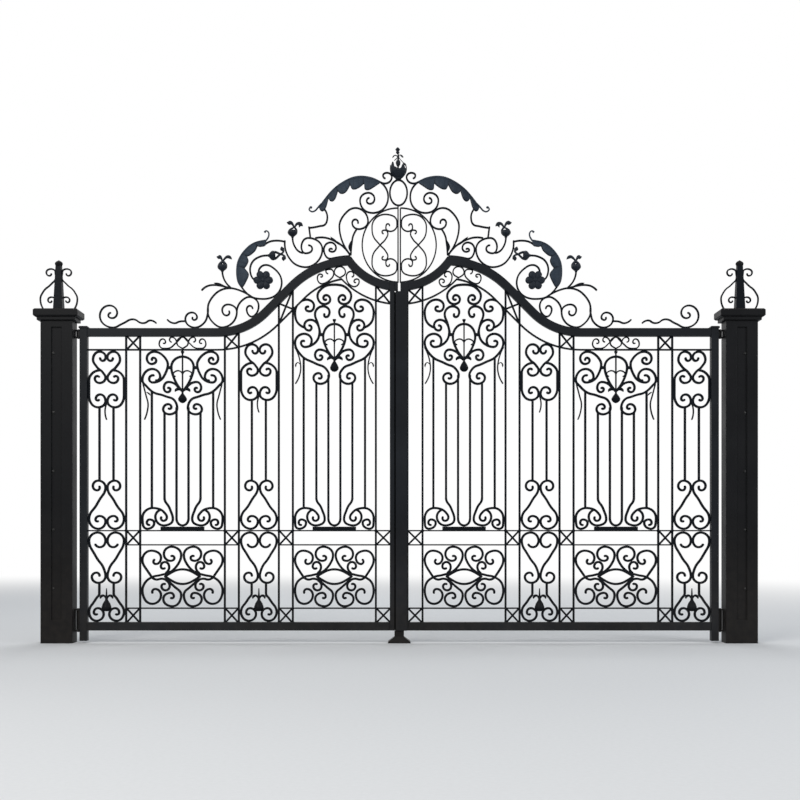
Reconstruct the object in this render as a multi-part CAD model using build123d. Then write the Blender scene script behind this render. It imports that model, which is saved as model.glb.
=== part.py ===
from build123d import *
import math
import os

# Wrought iron driveway gate: two leaves hung between two steel posts.
# Millimetres, Z up, the gate lies in the XZ plane and its front looks to -Y.
# The origin is the middle of the left post's foot.
# A leaf is drawn to the left of the gate's centre line (x = 0 there) and mirrored
# for the other side, so a place in it is (distance from the centre line, height).

# Posts
post_width = 190.0
post_depth = 110.0
post_height = 1926.0
recess_width = 60.0
recess_depth = 10.0
recess_low = 139.0
recess_high = 1886.0
cap_overhang = 38.0
cap_depth_overhang = 28.0
cap_thickness = 67.0
cap_chamfer = 8.0
cap_neck = 19.0
spike_base = 56.0
spike_top = 32.0
spike_height = 270.0
spike_knob = 12.0

# Leaf frame
hinge_gap = 34.0
stile_width = 45.0
stile_depth = 45.0
leg_clearance = 12.0
stile_cap_overhang = 5.0
stile_cap_height = 12.0
bottom_clearance = 74.0
bottom_rail_height = 50.0
rail_depth = 40.0
top_rail_top = 1885.0
top_rail_height = 48.0
meeting_outer = 56.0
left_meeting_width = 28.0
right_meeting_width = 77.0
strip_width = 67.0
strip_thickness = 10.0
rail_end_gap = 14.0
seam_drop = 8.0

# Swan neck of the top rail, measured at its top edge
sweep_radius = 382.0
ramp_angle = 45.0
shoulder_radius = 542.0
shoulder_top = 2314.0
dip_radius = 345.0
dip_bottom = 2159.0

# Panels and thin rails, from the hanging stile to the meeting stile
pilaster_width = 84.0
outer_narrow = 230.0
outer_wide = 508.0
inner_narrow = 240.0
inner_wide = 498.0
thin_rail_height = 8.0
thin_rail_depth = 24.0
bar_size = 12.0
brace_width = 11.0
brace_depth = 9.0
high_rail_drop = 128.0
middle_high = 672.0
middle_low = 587.0
low_rail_rise = 83.0

# Scrollwork
panel_stroke = 14.0
crest_stroke = 10.5
lyre_stroke = 8.0
scroll_depth = 10.0
panel_bar = 13.0
frieze_stroke = 8.0
inner_ring_x = -356.0
fine_stroke = 8.0
shelf_reach = 130.0
shelf_height = 20.0
knob_radius = 11.5
tie_reach = 78.0
collar_width = 24.0
collar_height = 18.0
collar_depth = 16.0
seat = 0.3

# Leaves, rosette and buds on the crest
leaf_thickness = 6.0
rosette_centre = (-817.0, 2176.0)
petal_radius = 21.0
petal_circle = 37.0
petal_count = 6
petal_thickness = 10.0
hub_radius = 22.0
leaf_root = 7.0
leaf_tip = 14.0

# Hinges, floor stop and crown
pin_radius = 6.0
pin_play = 0.3
eye_radius = 10.0
eye_play = 1.0
eye_web = 10.0
arm_thickness = 9.0
hinge_plate = 3.0
top_hinge = (1830.0, 1880.0)
bottom_hinge = (66.0, 202.0)
stop_base_width = 134.0
stop_base_depth = 100.0
stop_base_edge = 8.0
stop_neck_width = 57.0
stop_shoulder = 38.0
stop_top = 69.0
ring_half_width = 57.0
ring_half_height = 81.0
ring_middle = 2699.0
ring_x = -4.0
cup_rim = 43.0
cup_height = 104.0
cup_leaves = 8
notch_width = 24.0
notch_depth = 40.0
volute_edge = 61.0
lyre_radius = 222.0
lyre_bar_gap = 13.0
inner_heart_lift = 44.0
finial_stroke = 9.0

# Derived frame lines
panels_width = outer_narrow + outer_wide + inner_narrow + inner_wide + 4 * pilaster_width
stile_inner = -(meeting_outer + panels_width)
stile_outer = stile_inner - stile_width
post_face = stile_outer - hinge_gap
post_axis = post_face - post_width / 2
centre_x = -post_axis
frame_low = bottom_clearance + bottom_rail_height
top_rail_low = top_rail_top - top_rail_height
high_rail = top_rail_top - high_rail_drop
low_rail = frame_low + low_rail_rise
half_thin = thin_rail_height / 2
half_bar = bar_size / 2

pilaster_a = stile_inner + outer_narrow
pilaster_b = pilaster_a + pilaster_width
pilaster_c = pilaster_b + outer_wide
pilaster_d = pilaster_c + pilaster_width
pilaster_e = pilaster_d + inner_narrow
pilaster_f = pilaster_e + pilaster_width
pilaster_g = pilaster_f + inner_wide
pilaster_lines = [pilaster_a, pilaster_b, pilaster_c, pilaster_d, pilaster_e, pilaster_f, pilaster_g]

outer_narrow_axis = (stile_inner + pilaster_a - half_bar) / 2
inner_narrow_axis = (pilaster_d + pilaster_e) / 2
outer_wide_axis = (pilaster_b + pilaster_c) / 2
inner_wide_axis = (pilaster_f + pilaster_g) / 2
outer_narrow_half = (outer_narrow - half_bar) / 2
inner_narrow_half = inner_narrow / 2 - half_bar
outer_wide_half = outer_wide / 2 - half_bar
inner_wide_half = inner_wide / 2 - half_bar
margin = panel_stroke / 2 + seat
crest_lift = crest_stroke / 2 + seat
lyre_lift = lyre_stroke / 2 + seat
lyre_middle = dip_bottom + lyre_lift + lyre_radius
crown_low = ring_middle - ring_half_height
hinge_x = stile_outer - hinge_gap / 2
hinge_y = stile_depth / 2

# Derived swan neck: a sweep up, a straight ramp, a shoulder, then the dip to the middle
ramp = math.radians(ramp_angle)
dip_centre = (0.0, dip_bottom + dip_radius)
peak_half = math.sqrt(dip_radius**2 - (dip_centre[1] - shoulder_top) ** 2)
shoulder_x = -peak_half + 10.0
sweep_rise = sweep_radius * (1 - math.cos(ramp))
shoulder_rise = shoulder_radius * (1 - math.cos(ramp))
ramp_rise = shoulder_top - top_rail_top - sweep_rise - shoulder_rise
ramp_end_x = shoulder_x - shoulder_radius * math.sin(ramp)
ramp_start_x = ramp_end_x - ramp_rise / math.tan(ramp)
sweep_start_x = ramp_start_x - sweep_radius * math.sin(ramp)


def polar(heading):
    return Vector(math.cos(math.radians(heading)), math.sin(math.radians(heading)))


def left_of(direction):
    return Vector(-direction.Y, direction.X)


def headings(points):
    """Heading at each point: as given, or along the circle through its neighbours."""
    places = [Vector(p[0], p[1]) for p in points]
    last = len(points) - 1
    found = [polar(p[2]) if len(p) > 2 else None for p in points]
    for i in range(1, last):
        if found[i] is None:
            back = places[i] - places[i - 1]
            ahead = places[i + 1] - places[i]
            found[i] = (back / back.dot(back) + ahead / ahead.dot(ahead)).normalized()
    for end, inner in ((0, 1), (last, last - 1)):
        if found[end] is None:
            chord = (places[inner] - places[end]).normalized()
            inside = found[inner] or chord
            found[end] = chord * (2 * inside.dot(chord)) - inside
    return places, found


def arc_chain(points):
    """Split every span into two tangent arcs and return all places and headings."""
    places, found = headings(points)
    chain = [(places[0], found[0])]
    for i in range(len(places) - 1):
        start, goal = places[i], places[i + 1]
        away, into = found[i], found[i + 1]
        span = goal - start
        spread = 1 - away.dot(into)
        along = span.dot(away + into)
        if spread < 1e-6:
            reach = span.dot(span) / (4 * span.dot(away))
        else:
            reach = (math.sqrt(along**2 + 2 * spread * span.dot(span)) - along) / (2 * spread)
        joint = (start + goal) / 2 + (away - into) * (reach / 2)
        across = (goal - into * reach) - (start + away * reach)
        chain.append((joint, across.normalized()))
        chain.append((goal, into))
    return chain


def tangent_edge(start, direction, end):
    """A circular arc leaving start in a direction, or a line when it is straight."""
    chord = (end - start).normalized()
    if abs(left_of(direction).dot(chord)) < 1e-4:
        return Line(start, end)
    return TangentArc(start, end, tangent=direction)


def ribbon(points, width, end_width=None, round_start=True, round_end=True):
    """A flat bar bent along the points: two offset rows of arcs and two ends."""
    chain = arc_chain(points)
    end_width = width if end_width is None else end_width
    steps = len(chain) - 1
    halves = [(width + (end_width - width) * i / steps) / 2 for i in range(steps + 1)]
    left = [p + left_of(t) * h for (p, t), h in zip(chain, halves)]
    right = [p - left_of(t) * h for (p, t), h in zip(chain, halves)]
    edges = []
    for side in (left, right):
        for i in range(steps):
            edges.append(tangent_edge(side[i], chain[i][1], side[i + 1]))
    for i, sign, rounded in ((0, -1, round_start), (steps, 1, round_end)):
        if rounded:
            tip = chain[i][0] + chain[i][1] * (sign * halves[i])
            edges.append(ThreePointArc(left[i], tip, right[i]))
        else:
            edges.append(Line(left[i], right[i]))
    return Face(Wire(edges))


def upright(x, low, high, width=bar_size):
    return Pos(x, (low + high) / 2) * Rectangle(width, high - low)


def level(left, right, z, height=thin_rail_height):
    return Pos((left + right) / 2, z) * Rectangle(right - left, height)


def brace(start, end, width=brace_width):
    return ribbon([start, end], width, round_start=False, round_end=False)


def shift(points, dx, dz=0.0):
    return [(p[0] + dx, p[1] + dz, *p[2:]) for p in points]


def flip(points, axis=0.0):
    """The same points mirrored left to right about an upright axis."""
    return [(2 * axis - p[0], p[1], *(180 - h for h in p[2:])) for p in points]


def plate(faces, depth, offset=0.0):
    """Join flat faces drawn as (x, height) and give them a depth about y = offset."""
    joined = Sketch() + faces
    solid = extrude(joined, depth / 2, both=True)
    return Pos(0, offset, 0) * (Rot(90, 0, 0) * solid)


def rail_top(x):
    """Place and heading of the swan neck's top edge at a distance from the centre line."""
    if x <= sweep_start_x:
        return Vector(x, top_rail_top), Vector(1, 0)
    if x <= ramp_start_x:
        turn = math.asin((x - sweep_start_x) / sweep_radius)
        z = top_rail_top + sweep_radius * (1 - math.cos(turn))
        return Vector(x, z), Vector(math.cos(turn), math.sin(turn))
    if x <= ramp_end_x:
        z = top_rail_top + sweep_rise + (x - ramp_start_x) * math.tan(ramp)
        return Vector(x, z), Vector(math.cos(ramp), math.sin(ramp))
    if x <= shoulder_x:
        turn = math.asin((shoulder_x - x) / shoulder_radius)
        z = shoulder_top - shoulder_radius * (1 - math.cos(turn))
        return Vector(x, z), Vector(math.cos(turn), math.sin(turn))
    turn = math.asin(x / dip_radius)
    z = dip_centre[1] - dip_radius * math.cos(turn)
    return Vector(x, z), Vector(math.cos(turn), math.sin(turn))


def on_rail(x, lift):
    """A point that lies a distance above (or below) the rail's top edge, with its heading."""
    place, direction = rail_top(x)
    point = place + left_of(direction) * lift
    return (point.X, point.Y, math.degrees(math.atan2(direction.Y, direction.X)))


def offset_row(lift, start_x, end_x):
    """Outline edges that follow the top edge at a distance, from start_x to end_x."""
    stops = [x for x in (sweep_start_x, ramp_start_x, ramp_end_x) if start_x < x]
    low = [on_rail(x, lift) for x in [start_x, *stops]]
    peak = shoulder_peak(lift)
    end = dip_point(lift, end_x)
    edges = []
    rows = low + [(peak.X, peak.Y)]
    for a, b in zip(rows, rows[1:]):
        edges.append(tangent_edge(Vector(a[0], a[1]), polar(a[2]), Vector(b[0], b[1])))
    reach = dip_radius - lift
    middle_x = (peak.X + end.X) / 2
    middle = Vector(middle_x, dip_centre[1] - math.sqrt(reach**2 - middle_x**2))
    edges.append(ThreePointArc(peak, middle, end))
    return edges


def dip_point(lift, x):
    reach = dip_radius - lift
    return Vector(x, dip_centre[1] - math.sqrt(reach**2 - x**2))


def shoulder_peak(lift):
    """Where the shoulder's arc and the dip's arc meet at a distance from the top edge."""
    shoulder_centre = Vector(shoulder_x, shoulder_top - shoulder_radius)
    hollow_centre = Vector(*dip_centre)
    outer = shoulder_radius + lift
    inner = dip_radius - lift
    line = hollow_centre - shoulder_centre
    reach = line.length
    along = (outer**2 - inner**2 + reach**2) / (2 * reach)
    aside = math.sqrt(outer**2 - along**2)
    unit = line / reach
    return shoulder_centre + unit * along + left_of(unit) * aside


def swan_band(lift_high, lift_low, start_x, end_x):
    """Face between two lines that follow the swan neck."""
    high = offset_row(lift_high, start_x, end_x)
    low = offset_row(lift_low, start_x, end_x)
    ends = []
    for edge_high, edge_low, t in ((high[0], low[0], 0), (high[-1], low[-1], 1)):
        ends.append(Line(edge_high @ t, edge_low @ t))
    return Face(Wire(high + low + ends))


# Frame of one leaf


def hanging_stile():
    height = top_rail_top - leg_clearance
    body = Pos(stile_outer + stile_width / 2, 0, leg_clearance + height / 2)
    post = body * Box(stile_width, stile_depth, height)
    wide = stile_width + 2 * stile_cap_overhang
    deep = stile_depth + 2 * stile_cap_overhang
    cap_place = Pos(stile_outer + stile_width / 2, 0, top_rail_top + stile_cap_height / 2)
    cap = cap_place * Box(wide, deep, stile_cap_height)
    cap = chamfer(cap.faces().sort_by(Axis.Z)[-1].edges(), stile_cap_height / 3)
    return post + cap


def bottom_rail(end_x):
    length = end_x - stile_inner
    place = Pos(stile_inner + length / 2, 0, bottom_clearance + bottom_rail_height / 2)
    return place * Box(length, rail_depth, bottom_rail_height)


def left_meeting_stile(rail):
    right = -meeting_outer + left_meeting_width
    high = dip_bottom
    middle = Pos((right - meeting_outer) / 2, 0, (bottom_clearance + high) / 2)
    return middle * Box(left_meeting_width, stile_depth, high - bottom_clearance) - rail


def right_meeting_stile(rail):
    """Drawn mirrored like the rest of the leaf: its wide edge crosses the centre line."""
    inner = right_meeting_width - meeting_outer
    shelf = dip_bottom - top_rail_height - seam_drop
    length = shelf - bottom_clearance
    middle_z = bottom_clearance + length / 2
    stile = Pos((inner - meeting_outer) / 2, 0, middle_z) * Box(right_meeting_width, stile_depth, length)
    strip_y = -(stile_depth + strip_thickness) / 2
    strip = Pos(inner - strip_width / 2, strip_y, middle_z) * Box(strip_width, strip_thickness, length)
    neck_right = -rail_end_gap / 2
    neck_place = Pos((neck_right - meeting_outer) / 2, 0, (shelf + dip_bottom) / 2)
    neck = neck_place * Box(meeting_outer + neck_right, stile_depth, dip_bottom - shelf)
    return stile + strip + (neck - rail)


def swan_under(x):
    """Height of the swan neck's underside at a distance from the centre line."""
    place, direction = rail_top(x)
    return place.Y - top_rail_height / direction.X


def grille(rail_face):
    """Full-height pilaster bars, thin rails and crossed braces, fused where they cross."""
    bars = [upright(x, frame_low, swan_under(x) + top_rail_height / 2) for x in pilaster_lines]
    bars = Sketch() + bars - rail_face
    high = -high_rail_drop
    rails = [swan_band(high + half_thin, high - half_thin, stile_inner, -meeting_outer)]
    rails.append(level(stile_inner, -meeting_outer, middle_high))
    for left, right in ((pilaster_a, pilaster_d), (pilaster_e, -meeting_outer)):
        rails.append(level(left, right, middle_low))
        rails.append(level(left, right, low_rail))
    for axis in (outer_wide_axis, inner_wide_axis):
        low = middle_high + half_thin
        rails.append(level(axis - shelf_reach, axis + shelf_reach, low + shelf_height / 2, shelf_height))
    braces = []
    edges = pilaster_lines + [-meeting_outer]
    for left, right in zip(edges[0::2], edges[1::2]):
        inner_left = left + half_bar
        inner_right = right - (half_bar if right < -meeting_outer else 0)
        low_left, low_right = thin_top(inner_left), thin_top(inner_right)
        boxes = [(swan_under(inner_left), swan_under(inner_right), low_left, low_right)]
        for low, high in ((middle_low, middle_high), (frame_low - half_thin, low_rail)):
            boxes.append((high - half_thin, high - half_thin, low + half_thin, low + half_thin))
        for high_left, high_right, low_left, low_right in boxes:
            braces.append(brace((inner_left, low_left), (inner_right, high_right)))
            braces.append(brace((inner_left, high_left), (inner_right, low_right)))
    beyond = [level(stile_inner, 0, frame_low - bar_size, 2 * bar_size)]
    beyond.append(upright(-meeting_outer / 2, 0, shoulder_top, meeting_outer))
    crossed = Sketch() + braces - rail_face - beyond
    solid = plate(bars.faces(), bar_size) + plate(rails, thin_rail_depth)
    return solid + plate(crossed.faces(), brace_depth)


def thin_top(x):
    """Height of the upper thin rail's top face at a distance from the centre line."""
    place, direction = rail_top(x)
    return place.Y - (high_rail_drop - half_thin) / direction.X


# Scrollwork of the panels, drawn beside a panel's own middle line (x = 0)


def both_sides(strokes):
    return strokes + [flip(stroke) for stroke in strokes]


def panel_plate(strokes, bars, axis, fine=(), solids=()):
    """Bent flats and square bars of one panel, joined and moved to the panel's middle."""
    bent = [ribbon(stroke, panel_stroke) for stroke in strokes]
    bent += [ribbon(stroke, fine_stroke) for stroke in fine]
    under_rail = high_rail_drop + half_thin + seat
    rail_zone = Pos(-axis, 0) * swan_band(0, -under_rail, stile_inner, -meeting_outer)
    panel = plate((Sketch() + bent - rail_zone).faces(), scroll_depth)
    if bars:
        panel = panel + plate(bars, panel_bar)
    for solid in solids:
        panel = panel + solid
    return Pos(axis, 0, 0) * panel


def collar(x, z):
    return Pos(x, 0, z) * Box(collar_width, collar_depth, collar_height)


def narrow_upper(axis, half, lift):
    """A heart, the open barrel under it, two bars and the first pair of S scrolls."""
    wall = -(half - margin)
    low = middle_high + half_thin + margin
    high = high_rail - half_thin - margin
    heart = [(-38, 1706), (-23, 1691, 0), (-5, 1713, 90), (-42, high, 180), (-81, 1699, 270)]
    heart += [(-57, 1653), (-23, 1622), (-6, 1590, 270), (-42, 1558, 180)]
    heart += [(-70, 1585, 90), (-46, 1596)]
    barrel = [(-42, 1634), (-78, 1622), (wall, 1575, 270), (wall, 1480, 270), (-50, 1412, 0)]
    barrel += [(-6, 1449, 90), (-38, 1489, 180), (-64, 1464, 270), (-46, 1456)]
    double = [(-42, 936), (-57, 914, 180), (-82, 940, 90), (-50, 972, 0), (-6, 932, 270)]
    double += [(-52, 840), (wall, 742, 270), (-49, low, 0), (-6, 728, 90)]
    double += [(-42, 760, 180), (-66, 738, 270), (-52, 728)]
    tendril = [(0, 1434 + lift), (-9, 1385 + lift), (0, 1340 + lift)]
    bars = [upright(x, 972, 1414 + lift, panel_bar) for x in (-42, 42)]
    strokes = both_sides([shift(heart, 0, lift), shift(barrel, 0, lift), double])
    return panel_plate(strokes, bars, axis, [tendril])


def narrow_lower(axis, half):
    """Two pairs of S scrolls, the bars between them and a bud on a spike."""
    wall = -(half - margin)
    high = middle_high - half_thin - margin
    low = frame_low + margin
    upper = [(-66, 588), (-40, 573, 0), (-6, 612, 90), (-53, high, 180), (wall, 612, 270)]
    upper += [(-62, 514), (-17, 446), (-6, 400, 270), (-49, 359, 180), (-88, 394, 90)]
    upper += [(-60, 420, 0), (-42, 402)]
    lower = [(-43, 352, 270), (-43, 296, 270), (-64, 262), (wall, 184, 270), (-60, low, 0)]
    lower += [(-17, 172, 90), (-52, 207, 180), (-76, 182, 270), (-58, 170)]
    leaf = [(-4, 262), (-14, 283), (-30, 284), (-36, 268)]
    onion = turned([(0, 188), (18, 190), (29, 205), (29, 215), (22, 236), (9, 256), (6, 280), (3, 326)])
    strokes = both_sides([upper, lower])
    return panel_plate(strokes, [], axis, both_sides([leaf]), [onion])


def turned(profile):
    """Solid of revolution about the upright axis from (radius, height) points."""
    closed = [(0, profile[0][1]), *profile, (0, profile[-1][1])]
    points = [p for i, p in enumerate(closed) if i == 0 or p != closed[i - 1]]
    return revolve(Rot(90, 0, 0) * Face(Wire(Polyline(*points, close=True))), Axis.Z)


def oval(top, widest, bottom):
    """Right half of a pointed oval."""
    return [(0, top, 0), (67, widest, 270), (44, (widest + bottom) / 2 - 10), (0, bottom)]


def shelf_scrolls(wall):
    """The scrolls at the foot of a wide panel, under its bars."""
    low = middle_high + half_thin + margin
    shelf = middle_high + half_thin + shelf_height + margin
    outer = [(-128, 752), (-114, 731, 0), (-94, 752, 90), (-112, 784), (-178, 808, 180)]
    outer += [(wall, 748, 270), (-211, low, 0), (-170, 718, 90), (-197, 739, 180)]
    outer += [(-214, 720, 270), (-200, 706)]
    inner = [(-108, 868, 270), (-76, 803), (-58, 741, 270), (-113, shelf, 180)]
    inner += [(-163, 755, 90), (-134, 796)]
    cup = [(-36, 744, 270), (0, shelf, 0), (36, 744, 90)]
    return both_sides([outer, inner]) + [cup]


def wide_outer():
    """C and long S scrolls round a pointed oval, six bars and their foot scrolls."""
    wall = outer_wide_half - margin
    top = high_rail - half_thin - margin
    high = [(184, 1697), (174, 1709, 180), (158, 1693, 270), (185, 1672, 0), (214, 1706, 90)]
    high += [(170, top, 180), (109, 1714), (88, 1668, 270), (101, 1619), (131, 1576)]
    high += [(178, 1561, 0), (200, 1582, 90), (174, 1604)]
    long = [(158, 1573), (134, 1595, 90), (181, 1642, 0), (wall, 1576, 270), (212, 1534)]
    long += [(178, 1504), (109, 1481), (47, 1452), (32, 1408, 270), (78, 1370, 0)]
    long += [(116, 1400, 90), (86, 1431, 180), (67, 1413, 270), (82, 1404)]
    side = [(22, 1524), (52, 1556), (84, 1564, 0), (112, 1530, 270), (90, 1503, 180)]
    side += [(73, 1520, 90), (86, 1528)]
    whip = [(236, 1548), (218, 1480), (207, 1436), (212, 1385), (227, 1341)]
    leaf = [(0, 1600), (33, 1631), (54, 1606), (44, 1598)]
    rod = upright(0, 1500, high_rail - half_thin, fine_stroke)
    bars = [upright(sign * x, low, top, panel_bar) for sign in (-1, 1) for x, low, top in
            ((184, 808, 1505), (108, 860, 1380), (36, 740, 1412))]
    knob = turned([(3, 1728), (knob_radius, 1745), (knob_radius - 2, 1749)])
    knot = turned([(0, 1436), (12, 1440), (25, 1452), (27, 1464), (18, 1480), (7, 1494), (5, 1512)])
    ties = [collar(x, 1650) for x in (-tie_reach, tie_reach)]
    strokes = both_sides([high, long, side, oval(1716, 1654, 1508)]) + shelf_scrolls(-wall)
    fine = both_sides([whip, leaf])
    return panel_plate(strokes, [rod, *bars], outer_wide_axis, fine, [knob, knot, *ties])


def wide_inner():
    """The tall arched panel: paired scrolls rising round an oval, bars and foot scrolls."""
    wall = -(inner_wide_half - margin)
    crown = [(0, 2148, 180), (-70, 2130), (-101, 2080, 270), (-59, 2031, 0), (-25, 2059, 90)]
    crown += [(-49, 2085, 180), (-66, 2068, 270), (-50, 2058)]
    side_c = [(-157, 2016), (-172, 2004, 270), (-149, 1988, 0), (-122, 2020, 90)]
    side_c += [(-166, 2058, 180), (wall, 1982, 270), (-219, 1918), (-176, 1890)]
    second = [(-150, 1903), (-137, 1890, 270), (-152, 1873, 180), (-180, 1903, 90)]
    second += [(-144, 1937, 0), (-89, 1867, 270), (-101, 1817), (-144, 1781)]
    second += [(-176, 1774, 180), (-200, 1798, 90), (-182, 1810)]
    middle = [(-60, 1970), (-50, 1954, 0), (-29, 1984, 90), (-68, 2018, 180), (-116, 1970, 270)]
    middle += [(-98, 1912), (-86, 1862)]
    long = [(-144, 1784), (-136, 1812, 90), (-181, 1853, 180), (wall, 1800, 270), (-193, 1718)]
    long += [(-113, 1675), (-52, 1645), (-32, 1604, 270), (-83, 1553, 180), (-125, 1589, 90)]
    long += [(-95, 1617, 0), (-76, 1596, 270), (-92, 1586)]
    side = [(-22, 1716), (-52, 1748), (-88, 1758, 180), (-116, 1726, 270), (-90, 1696, 0)]
    side += [(-72, 1714, 90), (-86, 1722)]
    whip = [(-236, 1770), (-207, 1694), (-202, 1639), (-214, 1589), (-232, 1556)]
    leaf = [(0, 1790), (33, 1821), (54, 1796), (44, 1788)]
    rod = upright(0, 1700, 1925, fine_stroke)
    bars = [upright(sign * x, low, top, panel_bar) for sign in (-1, 1) for x, low, top in
            ((184, 808, 1712), (108, 860, 1562), (36, 740, 1606))]
    knob = turned([(3, 1916), (knob_radius, 1937), (knob_radius - 2, 1941)])
    knot = turned([(0, 1624), (14, 1628), (25, 1640), (26, 1652), (17, 1672), (7, 1688), (5, 1706)])
    ties = [collar(x, 1848) for x in (-tie_reach, tie_reach)]
    strokes = both_sides([crown, side_c, second, middle, long, side, oval(1912, 1836, 1702)])
    strokes += shelf_scrolls(wall)
    fine = both_sides([whip, leaf])
    return panel_plate(strokes, [rod, *bars], inner_wide_axis, fine, [knob, knot, *ties])


def wide_lower(axis, half):
    """Interlaced S scrolls round a pointed lens, between the middle and low rails."""
    wall = half - margin
    high = middle_low - half_thin - margin
    low = low_rail + half_thin + margin
    first = [(66, 520), (49, 508, 270), (72, 491, 0), (112, 532, 90), (66, high, 180)]
    first += [(8, 526, 270), (32, 463), (77, 422), (129, 406), (181, 394), (221, 365)]
    first += [(wall, 313, 270), (181, 233, 180), (129, 285, 90), (164, 322, 0), (181, 300)]
    second = [(170, 497), (160, 472, 180), (129, 509, 90), (187, 552, 0), (wall, 497, 270)]
    second += [(204, 422), (169, 382), (112, 382), (55, 342), (8, 285, 270), (61, low, 0)]
    second += [(115, 262, 90), (72, 299, 180), (52, 278, 270), (68, 268)]
    lens = [(-104, 397, 35), (0, 440, 0), (104, 397, 325)]
    lens_low = [(-104, 397, 325), (0, 352, 0), (104, 397, 35)]
    curl = [(98, 420), (80, 454, 90), (106, 484, 0), (130, 458, 270), (108, 446)]
    curl_low = [(96, 372), (77, 340, 270), (101, 314, 0), (126, 338, 90), (106, 352)]
    strokes = both_sides([first, second, curl, curl_low]) + [lens, lens_low]
    return panel_plate(strokes, [], axis)


# Frieze between the top rail and the upper thin rail


def teardrop(low, high):
    half = (high - low) / 2
    return [(0, low, 25), (half, low + half, 90), (0, high, 180)]


def outer_frieze():
    """A ring between two small S scrolls, in the flat part of the frieze."""
    low = high_rail + half_thin + frieze_stroke / 2 + seat
    high = top_rail_low - frieze_stroke / 2 - seat
    ring = teardrop(low, high)
    long = [(10, high - 3), (42, 1796), (77, 1768), (115, low, 0), (140, 1792, 90)]
    long += [(118, 1822, 180), (102, 1804, 270), (114, 1796)]
    short = [(36, 1804), (45, 1824), (64, high, 0), (78, 1817, 270), (68, 1804)]
    faces = [ribbon(s, frieze_stroke) for s in both_sides([ring, long, short])]
    return Pos(outer_wide_axis, 0, 0) * plate(faces, scroll_depth)


def inner_frieze():
    """A ring under the top of the swan neck, between two unequal scrolls."""
    half_stroke = frieze_stroke / 2 + seat
    low = on_rail(inner_ring_x, half_thin + half_stroke - high_rail_drop)[1]
    high = on_rail(inner_ring_x, -top_rail_height - half_stroke)[1]
    ring = shift(teardrop(low, high), inner_ring_x)
    far_ring = flip(ring, inner_ring_x)
    left = [(-470, 2194), (-460, 2202, 90), (-474, 2211, 180), (-491, 2187, 270), (-460, 2153.5, 8)]
    left += [(-425, 2169), (-393, 2215, 90), (-413, 2240, 180), (-440, 2229, 270), (-429, 2214)]
    right = [(-282, 2195), (-272, 2207, 90), (-291, 2227, 180), (-317, 2196, 270), (-294, 2146)]
    right += [(-270, 2136, 0), (-240, 2168, 90), (-254, 2182, 180), (-271, 2168, 270), (-262, 2161)]
    faces = [ribbon(stroke, frieze_stroke) for stroke in (ring, far_ring, left, right)]
    under_rail = high_rail_drop - half_thin - seat
    zones = [swan_band(-under_rail, -high_rail_drop, stile_inner, -meeting_outer)]
    zones.append(swan_band(0, -top_rail_height - seat, stile_inner, -meeting_outer))
    return plate((Sketch() + faces - zones).faces(), scroll_depth)


# Crest above the top rail


def reversed_on_rail(x, lift):
    point = on_rail(x, lift)
    return (point[0], point[1], point[2] + 180)


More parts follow.
